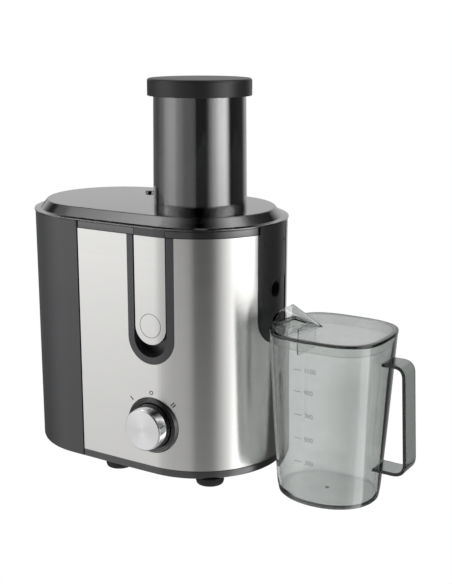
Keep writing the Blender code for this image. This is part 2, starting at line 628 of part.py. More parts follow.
def lid():
    """Stepped cover over bowl and container, with the feed tube moulded in."""
    low = RIM_TOP + GAP
    under = LID_TOP - LID_SKIN
    rings = [ring3(16.3, under), ring3(14.9, under), ring3(7.2, 269.8), ring3(7.2, 263.1), ring3(5.2, 263.1),
             ring3(5.2, low), ring3(-1.0, low), ring3(-1.0, 272.0), ring3(6.0, 272.3), ring3(13.1, LID_TOP - 0.6),
             ring3(13.9, LID_TOP)]
    cover = loft("lid", rings, 20.0)
    inner = TUBE_RADIUS - 3.0
    tube = turned("tube", [(TUBE_RADIUS - 1.3, TUBE_TOP), (TUBE_RADIUS, 287.6), (TUBE_RADIUS - 0.6, 287.2),
                           (TUBE_RADIUS - 0.6, 286.6), (TUBE_RADIUS + 0.3, 286.2), (TUBE_RADIUS + 0.3, LID_TOP - 1),
                           (TUBE_RADIUS - 0.2, LID_TOP - 1), (TUBE_RADIUS - 0.6, 232), (inner, 232),
                           (inner, TUBE_TOP)], steps=FINE)
    rib = turned("rib", [(74.2, under + 0.7), (74.2, 264.3), (71.8, 264.3), (71.8, under + 0.7)], steps=FINE)
    cut(rib, box("cut_rib", (-60, -80, 260), (18, 80, under + 0.3)))
    boss = turned("boss", [(0, 284.2), (4.4, 284.2), (5.6, LID_TOP - 1.2), (0, LID_TOP - 1.2)], x=BOSS_X, y=BOSS_Y,
                  steps=COARSE, closed=False)
    bore = rod("cut_tube", (DRIVE_X, 0, 270), (DRIVE_X, 0, 290), TUBE_RADIUS - 1.4, FINE)
    slots = [side_box(f"cut_hook_{tag}", side, 8.0, (80.0, 91.5), (264.6, 268.2))
             for tag, side in (("front", -1), ("back", 1))]
    cut(cover, bore, *slots)
    join(cover, tube, rib, boss)
    return register(cover, "smoke", "lid_place")


def pusher():
    inner = TUBE_RADIUS - 4.3
    body = [(0, 238.2), (inner - 2.0, 238.2), (inner - 2.0, 399.0), (inner, 399.0), (inner, 236.0), (0, 236.0)]
    register(turned("pusher_body", body, steps=FINE, closed=False), "smoke", "pusher_place")
    c = CAP_RADIUS
    cap = [(0, CAP_TOP), (c - 3, CAP_TOP - 0.4), (c - 0.7, CAP_TOP - 1.6), (c, CAP_TOP - 4), (c, CAP_BOTTOM),
           (c - 2.6, CAP_BOTTOM), (c - 2.6, TUBE_TOP + GAP), (0, TUBE_TOP + GAP)]
    register(turned("pusher_cap", cap, steps=FINE, closed=False), "black", "pusher_place")


# ---- pulp container ----
def pulp_container():
    tub = plate("pulp_container", [container_outline(0.0)], FOOT_HEIGHT, RIM_TOP)
    room = plate("cut_tub", [container_outline(2.5, SPLIT_X - 3.3)], 16.6, RIM_TOP + 5)
    well = plate("cut_well", [container_outline(2.9, SPLIT_X - 28.0)], FOOT_HEIGHT + 2.5, 20)
    notch = box("cut_notch", (SPLIT_X - 25, -54, 0), (SPLIT_X + 5, 54, 14.2))
    pulp_way = box("cut_tub_way", (SPLIT_X - 8, -89.4, STEEL_TOP - 0.3), (SPLIT_X + 6, 89.4, 300))
    cut(tub, room, well, notch, pulp_way)
    return register(tub, "charcoal", "container_place")


# ---- jug ----
def jug_ring(t, inset, z):
    """Section of the jug a fraction t of the way up."""
    ax = JUG_BASE[0] + (JUG_RIM[0] - JUG_BASE[0]) * t - inset
    ay = JUG_BASE[1] + (JUG_RIM[1] - JUG_BASE[1]) * t - inset
    return superellipse(JUG_X + JUG_LEAN * t, JUG_Y, ax, ay, 2.1 + 0.9 * t ** 0.6, z)


def jug():
    h = JUG_HEIGHT
    levels = [0.0, 0.33, 0.66, 1.0]
    outer = [jug_ring(0.0, 3.0, 0.0)] + [jug_ring(t, 0.0, max(3.0, t * h)) for t in levels]
    inner = [jug_ring(t, JUG_WALL, max(4.0, t * h)) for t in reversed(levels)]
    body = loft("jug_body", outer + inner, 30.0)
    register(body, "jug", "jug_place")

    cover_rings = [jug_ring(1.0, 8.0, 172.4), jug_ring(1.0, 5.0, 172.4), jug_ring(1.0, 5.0, 162.4),
                   jug_ring(1.0, 3.4, 162.4), jug_ring(1.0, 3.4, 172.1), jug_ring(1.0, -0.4, 172.1),
                   jug_ring(1.0, -0.4, JUG_LID_TOP), jug_ring(1.0, 6.0, JUG_LID_TOP)]
    cover = loft("jug_lid", cover_rings, 30.0)
    hood = jug_hood("hood", HOOD_HALF, HOOD_HEIGHT, 174.0, HOOD_MOUTH_X, HOOD_TIP_X)
    hollow = jug_hood("cut_hood", HOOD_HALF - 2, HOOD_HEIGHT - 2.0, 174.4, HOOD_MOUTH_X - 2, HOOD_TIP_X - 4.5)
    hole = plate("cut_hood_mouth", [[(170.5, JUG_Y - 14), (190, JUG_Y - 6.5), (190, JUG_Y + 6.5),
                                     (170.5, JUG_Y + 14)]], 150, 176)
    join(cover, hood)
    cut(cover, hollow, hole)
    register(cover, "jug", "jug_lid_place")

    flap = box("froth_separator", (192.0, JUG_Y - 19, 146.0), (193.8, JUG_Y + 19, 172.1))
    register(flap, "jug", "jug_lid_place")
    register(jug_handle(), "jug", "jug_place")


def jug_hood(name, half, height, base_z, near, tip, steps=12):
    """Half cone over the lid's pouring side: its mouth faces the juicer, its tip is inboard."""
    rings = []
    for t in (0.0, 1.0):
        shrink = 1 - 0.97 * t
        arc = []
        for i in range(steps + 1):
            c, up = math.cos(math.pi * i / steps), abs(math.sin(math.pi * i / steps))
            across = math.copysign(abs(c) ** (2 / HOOD_SQUARE), c)
            x = near + (tip - near) * t + HOOD_LEAN * up ** 2.6 * (1 - t)
            arc.append((x, JUG_Y - half * shrink * across, base_z + height * shrink * up ** (2 / HOOD_SQUARE)))
        rings.append(arc)
    return loft(name, rings)


def bend(corner, before, after, radius, steps=5):
    """Points that round a corner between the directions to its two neighbours."""
    start, end = [], []
    for other, out in ((before, start), (after, end)):
        length = math.hypot(other[0] - corner[0], other[1] - corner[1])
        out.extend(corner[i] + (other[i] - corner[i]) / length * radius for i in (0, 1))
    return [tuple(start[i] * (1 - t) ** 2 + corner[i] * 2 * t * (1 - t) + end[i] * t * t for i in (0, 1))
            for t in (k / steps for k in range(steps + 1))]


def jug_handle():
    """Flat strap bent into a D, its ends shaped to the jug's wall."""
    top, upper, lower, bottom = (279.5, 149.2), (303.4, 149.6), (309.7, 39.2), (272.5, 39.4)
    centre = [top] + bend(upper, top, lower, 14.5) + bend(lower, upper, bottom, 13.0) + [bottom]
    half = HANDLE_THICK / 2
    left, right = [], []
    for i, (x, z) in enumerate(centre):
        ax, az = centre[max(i - 1, 0)]
        bx, bz = centre[min(i + 1, len(centre) - 1)]
        length = math.hypot(bx - ax, bz - az)
        nx, nz = -(bz - az) / length, (bx - ax) / length
        left.append((x + half * nx, z + half * nz))
        right.append((x - half * nx, z - half * nz))
    handle = plate("jug_handle", [left + right[::-1]], HANDLE_Y - HANDLE_HALF_WIDTH, HANDLE_Y + HANDLE_HALF_WIDTH, "Y")
    wall = loft("cut_handle", [jug_ring(t, -GAP, max(3.0, t * JUG_HEIGHT)) for t in (0.0, 0.33, 0.66, 1.0)])
    cut(handle, wall)
    return handle


def add_pivots():
    add_pivot("juicer_frame", 0, 0, 0, None)
    add_pivot("collector_place", DRIVE_X, 0, DECK_Z)
    add_pivot("drive_axis", DRIVE_X, 0, 0)
    add_pivot("lid_place", 0, 0, RIM_TOP)
    add_pivot("pusher_place", DRIVE_X, 0, TUBE_TOP)
    add_pivot("knob_axis", KNOB_X, -90, KNOB_Z)
    add_pivot("latch_front_pivot", LATCH_X, -LATCH_PIVOT_Y, LATCH_PIVOT_Z)
    add_pivot("latch_back_pivot", LATCH_X, LATCH_PIVOT_Y, LATCH_PIVOT_Z)
    add_pivot("plunger_place", PLUNGER_X, PLUNGER_Y, 170)
    add_pivot("container_place", SPLIT_X, 0, 0)
    add_pivot("jug_place", JUG_X, JUG_Y, 0)
    add_pivot("jug_lid_place", JUG_X, JUG_Y, JUG_LID_TOP)


def build():
    global parts, cutters
    clear_scene()
    parts = new_collection("centrifugal_juicer")
    cutters = new_collection("cutters")
    add_pivots()
    base_tray()
    steel_wrap()
    motor_housing()
    for tag, (x, y) in FOOT_PLACES.items():
        foot(tag, x, y)
    cord_gland()
    for tag, side in (("front", -1), ("back", 1)):
        latch_bezel(tag, side)
        latch(tag, side)
    spout_bezel()
    juice_collector()
    collector_spout()
    collector_seal()
    basket()
    motor()
    motor_brackets()
    cooling_fan()
    speed_board()
    dial()
    interlock()
    lid()
    pusher()
    pulp_container()
    jug()
    pivots["juicer_frame"].location = Vector(FRAME_SHIFT) * MM


build()
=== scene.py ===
"""Visual model of the centrifugal juicer and its jug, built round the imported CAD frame.

Shapes are written in millimetres in the body's own frame (X along the body from the pulp
container to the spout, -Y the knob's side, Z up from the table) and moved into the row frame
by `shift`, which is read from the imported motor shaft.
"""

import json
import math

import bmesh
import bpy
from mathutils import Matrix, Vector

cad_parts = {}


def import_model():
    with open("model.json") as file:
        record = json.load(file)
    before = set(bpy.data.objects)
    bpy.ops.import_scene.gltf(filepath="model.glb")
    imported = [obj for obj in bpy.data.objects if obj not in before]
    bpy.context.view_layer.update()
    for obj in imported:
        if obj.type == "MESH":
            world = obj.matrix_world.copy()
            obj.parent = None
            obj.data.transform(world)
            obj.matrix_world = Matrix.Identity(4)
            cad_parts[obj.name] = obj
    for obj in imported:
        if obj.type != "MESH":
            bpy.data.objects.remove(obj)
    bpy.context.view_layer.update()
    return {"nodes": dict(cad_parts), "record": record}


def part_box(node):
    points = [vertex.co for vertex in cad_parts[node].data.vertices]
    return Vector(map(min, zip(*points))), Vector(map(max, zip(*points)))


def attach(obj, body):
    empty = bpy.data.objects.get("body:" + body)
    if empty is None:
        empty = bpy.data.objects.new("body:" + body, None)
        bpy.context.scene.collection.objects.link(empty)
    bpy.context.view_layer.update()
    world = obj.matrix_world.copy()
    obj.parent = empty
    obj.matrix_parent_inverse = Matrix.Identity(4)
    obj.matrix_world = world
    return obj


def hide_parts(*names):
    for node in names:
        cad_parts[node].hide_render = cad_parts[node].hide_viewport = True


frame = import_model()

MM = 0.001
# ---- the part's own dimensions (mm) ----
END_RADIUS = 90.0
HALF_STRAIGHT = 57.7
SIDE_BULGE = 0.036
FOOT_HEIGHT = 7.6
BAND_TOP = 16.2
STEEL_TOP = 262.8
RIM_TOP = 270.3
LID_TOP = 281.7
LID_SKIN = 2.4
DRIVE_X = 53.9
SPLIT_X = -39.2
TUBE_RADIUS = 49.7
TUBE_TOP = 402.0
CAP_RADIUS = 54.7
CAP_BOTTOM = 397.2
CAP_TOP = 415.2
DECK_Z = 188.0
BOWL_RADIUS = 74.0
LATCH_X = 53.0
LATCH_HALF = 18.4
LATCH_BOTTOM = 149.8
LATCH_PIVOT_Y, LATCH_PIVOT_Z = 87.5, 205.0
BEZEL_HALF = 27.2
BEZEL_WALL = 7.5
BEZEL_BOTTOM = 128.9
POCKET_FACE_Y = 78.6
SPOUT_Z = 201.6
SPOUT_RADIUS = 9.5
SPOUT_HALF = 29.0
SPOUT_BOTTOM = 144.5
SPLIT_Z = 212.4
KNOB_X, KNOB_Z = 53.6, 62.3
KNOB_RADIUS = 22.3
KNOB_FACE_Y = 110.9
DIAL_RADIUS = 30.0
GLAND_X, GLAND_Z = 20.0, 40.0
JUG_X, JUG_Y = 221.8, -16.2
JUG_LEAN = 1.4
JUG_BASE = (52.5, 45.4)
JUG_RIM = (59.6, 54.7)
JUG_HEIGHT = 171.8
JUG_LID_TOP = 174.6
JUG_WALL = 2.5
HOOD_HALF, HOOD_HEIGHT = 22.0, 17.5
HOOD_MOUTH_X, HOOD_TIP_X = 164.6, 211.5
HOOD_LEAN, HOOD_SQUARE = 9.0, 2.3
HANDLE_Y = -15.2
HANDLE_HALF_WIDTH = 13.2
HANDLE_THICK = 3.5
MARK_X = 206.7                  # left end of the jug's graduations
GAP = 0.3
GLAND_HOLE = 8.6                # radius of the hole for the gland
PIN_HOLE = 1.9                  # radius of the hole for a latch's pin
PRESS_Z = 169.7                 # middle of the circle engraved in a latch's face
ABOVE = 300.0                   # higher than any opening
THROUGH = (60.0, 110.0)         # distances from the middle that span a side wall
SIDES = (("front", -1), ("back", 1))
FEET = {"front_right": (106.0, -63.0), "front_left": (-3.0, -76.0),
        "back_right": (106.0, 63.0), "back_left": (-3.0, 76.0)}

ROUND = 96                      # steps round a large turned piece
SMALL = 48                      # steps round a small one

shaft_low, shaft_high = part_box("motor_shaft")
shift = (shaft_low + shaft_high) / 2 - Vector((DRIVE_X, 0, 0)) * MM
shift.z = 0.0


# ---- mesh helpers ----
def new_object(name, data):
    obj = bpy.data.objects.new(name, data)
    bpy.context.scene.collection.objects.link(obj)
    return obj


def evaluated_mesh(obj):
    graph = bpy.context.evaluated_depsgraph_get()
    return bpy.data.meshes.new_from_object(obj.evaluated_get(graph))


def shade(mesh, sharp=32.0):
    mesh.shade_smooth()
    mesh.set_sharp_from_angle(angle=math.radians(sharp))


def mesh_object(name, bm, sharp=32.0):
    """A finished bmesh in millimetres becomes an object in the row frame."""
    bmesh.ops.recalc_face_normals(bm, faces=bm.faces)
    bmesh.ops.scale(bm, vec=(MM, MM, MM), verts=bm.verts)
    bmesh.ops.translate(bm, vec=shift, verts=bm.verts)
    mesh = bpy.data.meshes.new(name)
    bm.to_mesh(mesh)
    bm.free()
    shade(mesh, sharp)
    return new_object(name, mesh)


def fillet(points, radius, steps=4, closed=True):
    """Round the corners of a polyline; a point may carry its own radius as a third number."""
    out = []
    count = len(points)
    for i, point in enumerate(points):
        own = point[2] if len(point) > 2 else radius
        here = Vector(point[:2])
        if own <= 0 or (not closed and i in (0, count - 1)):
            out.append(tuple(here))
            continue
        before, after = Vector(points[i - 1][:2]), Vector(points[(i + 1) % count][:2])
        back, ahead = before - here, after - here
        bend = back.angle(ahead, math.pi)
        if bend > math.radians(176):
            out.append(tuple(here))
            continue
        reach = min(own / math.tan(bend / 2), 0.45 * back.length, 0.45 * ahead.length)
        start, end = here + back.normalized() * reach, here + ahead.normalized() * reach
        for k in range(steps + 1):
            t = k / steps
            out.append(tuple(start * (1 - t) ** 2 + here * 2 * t * (1 - t) + end * t * t))
    return out


def loft(name, rings, ring_closed=False, sharp=32.0):
    """Skin rings of equal length; the ends are capped, or joined when ring_closed."""
    bm = bmesh.new()
    rows = [[bm.verts.new(p) for p in ring] for ring in rings]
    count = len(rows[0])
    pairs = list(zip(rows, rows[1:]))
    if ring_closed:
        pairs.append((rows[-1], rows[0]))
    for lower, upper in pairs:
        for i in range(count):
            j = (i + 1) % count
            bm.faces.new((lower[i], lower[j], upper[j], upper[i]))
    if not ring_closed:
        bm.faces.new(rows[0][::-1])
        bm.faces.new(rows[-1])
    return mesh_object(name, bm, sharp)


def prism(name, outline, low, high, axis="Z"):
    """A flat outline extruded along an axis; for Y it is drawn in X, Z and for X in Y, Z."""
    place = {"Z": lambda u, v, w: (u, v, w), "Y": lambda u, v, w: (u, w, v),
             "X": lambda u, v, w: (w, u, v)}[axis]
    return loft(name, [[place(u, v, w) for u, v in outline] for w in (low, high)])


def turned(name, profile, x=DRIVE_X, y=0.0, z=0.0, steps=ROUND, outward=0):
    """Turn a (radius, height) profile; heights run up Z, or out along Y when outward is -1 or 1.
    A profile that starts and ends on the axis is a solid of revolution; any other is a ring."""
    bm = bmesh.new()
    solid = profile[0][0] < 1e-6 and profile[-1][0] < 1e-6
    rows = []
    for r, h in profile:
        if r < 1e-6:
            rows.append([bm.verts.new((0, 0, h))])
            continue
        angles = [2 * math.pi * i / steps for i in range(steps)]
        rows.append([bm.verts.new((r * math.cos(a), r * math.sin(a), h)) for a in angles])
    pairs = list(zip(rows, rows[1:]))
    if not solid:
        pairs.append((rows[-1], rows[0]))
    for a, b in pairs:
        if len(a) == 1 and len(b) == 1:
            continue
        for i in range(steps):
            j = (i + 1) % steps
            if len(a) == 1:
                bm.faces.new((a[0], b[j], b[i]))
            elif len(b) == 1:
                bm.faces.new((a[i], a[j], b[0]))
            else:
                bm.faces.new((a[i], a[j], b[j], b[i]))
    if outward:
        turn = Matrix.Rotation(-outward * math.pi / 2, 3, "X")
        bmesh.ops.rotate(bm, matrix=turn, verts=bm.verts)
    bmesh.ops.translate(bm, vec=(x, y, z), verts=bm.verts)
    return mesh_object(name, bm)


def knob_turned(name, profile):
    """Turned on the knob's axis; heights are distances out from the middle of the body."""
    return turned(name, profile, KNOB_X, 0.0, KNOB_Z, ROUND, outward=-1)


def box(name, low, high):
    outline = [(low[0], low[1]), (high[0], low[1]), (high[0], high[1]), (low[0], high[1])]
    return prism(name, outline, low[2], high[2])


def side_box(name, side, half, distances, heights):
    """A box behind a latch, by its distances from the middle of the body and its heights."""
    near, far = sorted(side * d for d in distances)
    return box(name, (LATCH_X - half, near, heights[0]), (LATCH_X + half, far, heights[1]))


def rod(name, start, end, radius, steps=SMALL):
    start, end = Vector(start), Vector(end)
    bm = bmesh.new()
    bmesh.ops.create_cone(bm, cap_ends=True, segments=steps, radius1=radius, radius2=radius,
                          depth=(end - start).length)
    turn = Vector((0, 0, 1)).rotation_difference(end - start).to_matrix()
    bmesh.ops.rotate(bm, matrix=turn, verts=bm.verts)
    bmesh.ops.translate(bm, vec=(start + end) / 2, verts=bm.verts)
    return mesh_object(name, bm)


def sweep(name, path, section):
    """Sweep a section (across, up) along a path in the XZ plane; across is along Y."""
    rings = []
    for i, (x, y, z) in enumerate(path):
        ax, _, az = path[max(i - 1, 0)]
        bx, _, bz = path[min(i + 1, len(path) - 1)]
        length = math.hypot(bx - ax, bz - az)
        nx, nz = -(bz - az) / length, (bx - ax) / length
        rings.append([(x + nx * up, y + across, z + nz * up) for across, up in section])
    return loft(name, rings)


def settle(obj):
    """Apply the object's modifiers, so that its mesh is final."""
    mesh = evaluated_mesh(obj)
    obj.modifiers.clear()
    old, obj.data = obj.data, mesh
    bpy.data.meshes.remove(old)
    shade(mesh)
    return obj


def boolean(target, operation, others):
    for other in others:
        mod = target.modifiers.new("shape", "BOOLEAN")
        mod.operation, mod.object, mod.solver = operation, other, "EXACT"
    settle(target)
    for other in others:
        bpy.data.objects.remove(other)
    return target


def cut(target, *others):
    return boolean(target, "DIFFERENCE", others)


def join(target, *others):
    return boolean(target, "UNION", others)


def keep(target, other):
    return boolean(target, "INTERSECT", (other,))


def soften(obj, width, segments=2, angle=40.0):
    """Break the sharp edges by a small radius."""
    mod = obj.modifiers.new("edges", "BEVEL")
    mod.width, mod.segments, mod.limit_method = width * MM, segments, "ANGLE"
    mod.angle_limit = math.radians(angle)
    return settle(obj)


def piece(obj, body, slot, *nodes, look=None):
    """Give a piece its finish, its body and the CAD nodes that it stands for."""
    flat = obj.modifiers.new("flat", "WEIGHTED_NORMAL")
    flat.keep_sharp, flat.weight = True, 90
    mesh = evaluated_mesh(obj)
    obj.modifiers.clear()
    obj.data = mesh
    mesh.materials.clear()
    mesh.materials.append(LOOKS[look or slot])
    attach(obj, body)
    if nodes:
        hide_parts(*nodes)
    return obj


# ---- outlines ----
def side_y(x, radius):
    reach = HALF_STRAIGHT + radius
    return radius * (1 + SIDE_BULGE * (1 - (x / reach) ** 2))


def body_outline(inset=0.0, arc=64, run=12):
    """Whole plan of the body, drawn in by inset, anticlockwise from the front right."""
    radius = END_RADIUS - inset
    reach = HALF_STRAIGHT + radius
    points = []
    for side in (1, -1):
        for i in range(arc + 1):
            a = -math.pi / 2 + math.pi * i / arc
            points.append((side * (HALF_STRAIGHT + radius * math.cos(a)), side * radius * math.sin(a)))
        for i in range(1, run):
            points.append((side * HALF_STRAIGHT * (1 - 2 * i / run), side * radius))
    return [(x, y * (1 + SIDE_BULGE * (1 - (x / reach) ** 2))) for x, y in points]


def end_outline(inset, cut_x, side, corner=0.0, arc=72, run=14):
    """Plan of one end, from its straight cut at cut_x round to the same cut."""
    radius = END_RADIUS - inset
    reach = HALF_STRAIGHT + radius
    xs = [cut_x + (side * HALF_STRAIGHT - cut_x) * i / run for i in range(run)]
    near = [(x, -side * side_y(x, radius)) for x in xs]
    far = [(x, side * side_y(x, radius)) for x in reversed(xs)]
    bend = []
    for i in range(arc + 1):
        a = -math.pi / 2 + math.pi * i / arc
        x, y = HALF_STRAIGHT + radius * math.cos(a), radius * math.sin(a)
        bend.append((side * x, side * y * (1 + SIDE_BULGE * (1 - (x / reach) ** 2))))
    points = near + bend + far
    points[0] = (*points[0], corner)
    points[-1] = (*points[-1], corner)
    return fillet(points, 0.0, 5)


def housing_outline(inset, left=SPLIT_X + 0.9, corner=0.0):
    return end_outline(inset, left, 1, corner)


def container_outline(inset, right=SPLIT_X - 0.8, corner=0.0):
    return end_outline(inset, right, -1, corner)


def raised(outline, z):
    return [(x, y, z) for x, y in outline]


def u_shape(centre, half, bottom, top, steps=40):
    points = [(centre + half, top), (centre - half, top)]
    for i in range(steps + 1):
        a = math.pi + math.pi * i / steps
        points.append((centre + half * math.cos(a), bottom + half + half * math.sin(a)))
    return points


def wall_slice(name, inset_out, inset_in, low, high):
    """A band of the body's wall between two insets."""
    profile = ((inset_out, low), (inset_out, high), (inset_in, high), (inset_in, low))
    return loft(name, [raised(body_outline(i, 96, 24), z) for i, z in profile], ring_closed=True)


def latch_block(name, half, bottom, top, side, near, far):
    low, high = sorted((side * near, side * far))
    return prism(name, u_shape(LATCH_X, half, bottom, top), low, high, "Y")


def latch_slice(name, side, half, bottom, *band):
    """The part of a wall slice that lies within a latch's outline."""
    return keep(wall_slice(name, *band), latch_block("keep", half, bottom, ABOVE, side, *THROUGH))


def pin_way(side):
    y = side * LATCH_PIVOT_Y
    return rod("pin_way", (LATCH_X - 30, y, LATCH_PIVOT_Z), (LATCH_X + 30, y, LATCH_PIVOT_Z), PIN_HOLE, 24)


def dial_and_gland_ways():
    near, far = THROUGH
    return (rod("dial_way", (KNOB_X, -far, KNOB_Z), (KNOB_X, -near, KNOB_Z), DIAL_RADIUS + GAP, ROUND),
            rod("gland_way", (GLAND_X, near, GLAND_Z), (GLAND_X, far, GLAND_Z), GLAND_HOLE))


def spout_block(name, half, bottom, top, near, far):
    return prism(name, u_shape(0.0, half, bottom, top), near, far, "X")


# ---- finishes ----
LOOKS = {}                      # every finish by its name


def new_material(name):
    LOOKS[name] = mat = bpy.data.materials.new(name)
    mat.use_nodes = True
    return mat.node_tree.nodes


def fill(node, values):
    """Set a node's sockets by name, _ standing for a space."""
    for key, value in values.items():
        node.inputs[key.replace("_", " ")].default_value = value
    return node


def add(nodes, kind, **values):
    return fill(nodes.new("ShaderNode" + kind), values)


def link(output, socket):
    output.id_data.links.new(output, socket)


def noise_node(nodes, scale, detail):
    """Noise in object space; scale is per metre, one number or one each for X, Y and Z."""
    place = add(nodes, "TexCoord")
    stretch = add(nodes, "Mapping", Scale=scale if isinstance(scale, tuple) else (scale,) * 3)
    noise = add(nodes, "TexNoise", Scale=1.0, Detail=detail, Roughness=0.55)
    link(place.outputs["Object"], stretch.inputs["Vector"])
    link(stretch.outputs["Vector"], noise.inputs["Vector"])
    return noise.outputs["Fac"]


def finish(name, dark, light, rough, fine, broad=14, relief=0.02, depth=0.00004, **values):
    """Principled finish: a fine grain drives relief and tone, a broad one the roughness."""
    nodes = new_material(name)
    shader = fill(nodes["Principled BSDF"], values)
    grain = noise_node(nodes, fine, 5.0)
    tone = add(nodes, "ValToRGB")
    for stop, position, colour in zip(tone.color_ramp.elements, (0.3, 0.7), (dark, light)):
        stop.position, stop.color = position, (*colour, 1.0)
    link(grain, tone.inputs["Fac"])
    link(tone.outputs["Color"], shader.inputs["Base Color"])
    polish = add(nodes, "MapRange", From_Min=0.3, From_Max=0.7, To_Min=rough[0], To_Max=rough[1])
    link(noise_node(nodes, broad, 3.0), polish.inputs["Value"])
    link(polish.outputs["Result"], shader.inputs["Roughness"])
    bump = add(nodes, "Bump", Strength=relief, Distance=depth)
    link(grain, bump.inputs["Height"])
    link(bump.outputs["Normal"], shader.inputs["Normal"])
    return nodes


def brushed(name, dark, light, rough, scale, axis, anisotropy=0.75):
    """Brushed or spun metal: fine lines, with the highlight drawn out across them."""
    nodes = finish(name, dark, light, rough, scale, (7, 7, 60), 0.0, 0.00001, Metallic=1.0,
                   Anisotropic=anisotropy, Anisotropic_Rotation=0.25)
    tangent = add(nodes, "Tangent")
    tangent.direction_type, tangent.axis = "RADIAL", axis
    link(tangent.outputs["Tangent"], nodes["Principled BSDF"].inputs["Tangent"])
    return nodes


def spun(name):
    """Aluminium turned on a lathe: fine rings round the knob's own axis."""
    nodes = brushed(name, (0.78, 0.78, 0.79), (0.86, 0.86, 0.87), (0.20, 0.26), 1, "Y", 0.7)
    reach = add(nodes, "TexCoord").outputs["Object"]
    axis_point = Vector((KNOB_X, 0, KNOB_Z)) * MM + shift
    for operation, value in (("SUBTRACT", axis_point), ("MULTIPLY", (1, 0, 1))):
        step = add(nodes, "VectorMath")
        step.operation = operation
        step.inputs[1].default_value = value
        link(reach, step.inputs[0])
        reach = step.outputs["Vector"]
    size = add(nodes, "VectorMath")
    size.operation = "LENGTH"
    link(reach, size.inputs[0])
    rings = add(nodes, "TexNoise", Detail=2.0)
    rings.noise_dimensions = "1D"
    rings.inputs["Scale"].default_value = 1500.0
    link(size.outputs["Value"], rings.inputs["W"])
    for node in nodes:
        if node.type in ("VALTORGB", "BUMP"):
            link(rings.outputs["Fac"], node.inputs["Fac" if node.type == "VALTORGB" else "Height"])


def clear(name, density, **values):
    """Smoked clear plastic: it darkens with the thickness looked through, and lets lamp light in."""
    nodes = finish(name, (0.94, 0.95, 0.945), (0.98, 0.99, 0.985), (0.0, 0.02), 60, 5, 0.0, 0.00001,
                   Transmission_Weight=1.0, IOR=1.49, **values)
    output = nodes["Material Output"]
    path = add(nodes, "LightPath")
    through = add(nodes, "BsdfTransparent", Color=(0.95, 0.95, 0.95, 1.0))
    mix = add(nodes, "MixShader")
    link(path.outputs["Is Shadow Ray"], mix.inputs["Fac"])
    link(nodes["Principled BSDF"].outputs["BSDF"], mix.inputs[1])
    link(through.outputs["BSDF"], mix.inputs[2])
    link(mix.outputs["Shader"], output.inputs["Surface"])
    dye = add(nodes, "VolumeAbsorption", Color=(0.0, 0.045, 0.015, 1.0), Density=density)
    link(dye.outputs["Volume"], output.inputs["Volume"])


def make_looks():
    brushed("brushed_steel", (0.695, 0.69, 0.675), (0.725, 0.72, 0.705), (0.23, 0.26), (5, 5, 2600), "Z")
    spun("spun_aluminium")
    finish("black_plastic", (0.009, 0.009, 0.01), (0.014, 0.014, 0.015), (0.24, 0.32), 1500, relief=0.06,
           Coat_Weight=0.8, Coat_IOR=1.8, Coat_Roughness=0.12)
    finish("charcoal_plastic", (0.024, 0.025, 0.028), (0.036, 0.037, 0.041), (0.3, 0.4), 1300, relief=0.1,
           Coat_Weight=0.4, Coat_IOR=1.7, Coat_Roughness=0.3)
    finish("matt_black", (0.01, 0.01, 0.011), (0.018, 0.018, 0.019), (0.3, 0.38), 1300, relief=0.06)
    finish("gloss_black", (0.008, 0.008, 0.009), (0.014, 0.014, 0.016), (0.06, 0.13), 900,
           Coat_Weight=0.6, Coat_Roughness=0.04)
    clear("smoke_plastic", 600.0, Coat_Weight=1.0, Coat_IOR=2.1, Coat_Roughness=0.02)
    # denser copy of the smoke plastics, painted shade: it darkens the jug cover's rim bead and the pusher
    # seen in the tube as shade would
    clear("smoke_with_painted_shade", 1000.0, Coat_Weight=0.5, Coat_IOR=1.6, Coat_Roughness=0.02)
    # denser copy of the jug's clear smoke, painted shade: it darkens the solid handle as shade would
    clear("handle_smoke_with_painted_shade", 290.0, Coat_Weight=0.5, Coat_IOR=1.6, Coat_Roughness=0.02)
    clear("clear_smoke", 108.0, Coat_Weight=0.6, Coat_IOR=1.7, Coat_Roughness=0.0)
    finish("rubber", (0.01, 0.01, 0.011), (0.022, 0.022, 0.023), (0.62, 0.82), 1100, relief=0.4)
    finish("chrome", (0.8, 0.8, 0.81), (0.88, 0.88, 0.89), (0.05, 0.11), 700, Metallic=1.0)
    finish("plain_steel", (0.46, 0.46, 0.47), (0.62, 0.62, 0.63), (0.2, 0.34), (500, 500, 1600), relief=0.15,
           Metallic=1.0)
    finish("cast_bracket", (0.4, 0.41, 0.42), (0.56, 0.57, 0.58), (0.42, 0.6), 420, relief=0.7,
           depth=0.0002, Metallic=1.0)
    finish("laminated_iron", (0.1, 0.1, 0.11), (0.3, 0.29, 0.28), (0.35, 0.55), (20, 20, 2200), relief=0.8,
           depth=0.0002, Metallic=0.9)
    finish("copper", (0.48, 0.2, 0.08), (0.8, 0.4, 0.2), (0.22, 0.4), (1400, 1400, 300), relief=0.6,
           depth=0.0002, Metallic=1.0)
    finish("white_plastic", (0.74, 0.74, 0.71), (0.82, 0.82, 0.79), (0.3, 0.42), 1000, relief=0.15)
    finish("circuit_board", (0.03, 0.12, 0.05), (0.08, 0.24, 0.1), (0.28, 0.45), 300, relief=0.3)
    finish("printed_grey", (0.02, 0.02, 0.02), (0.04, 0.04, 0.04), (0.45, 0.6), 900)
    finish("moulded_mark", (0.37, 0.38, 0.375), (0.43, 0.44, 0.435), (0.45, 0.6), 900)
    finish("engraved", (0.16, 0.16, 0.155), (0.24, 0.24, 0.235), (0.35, 0.5), 900, Metallic=1.0)


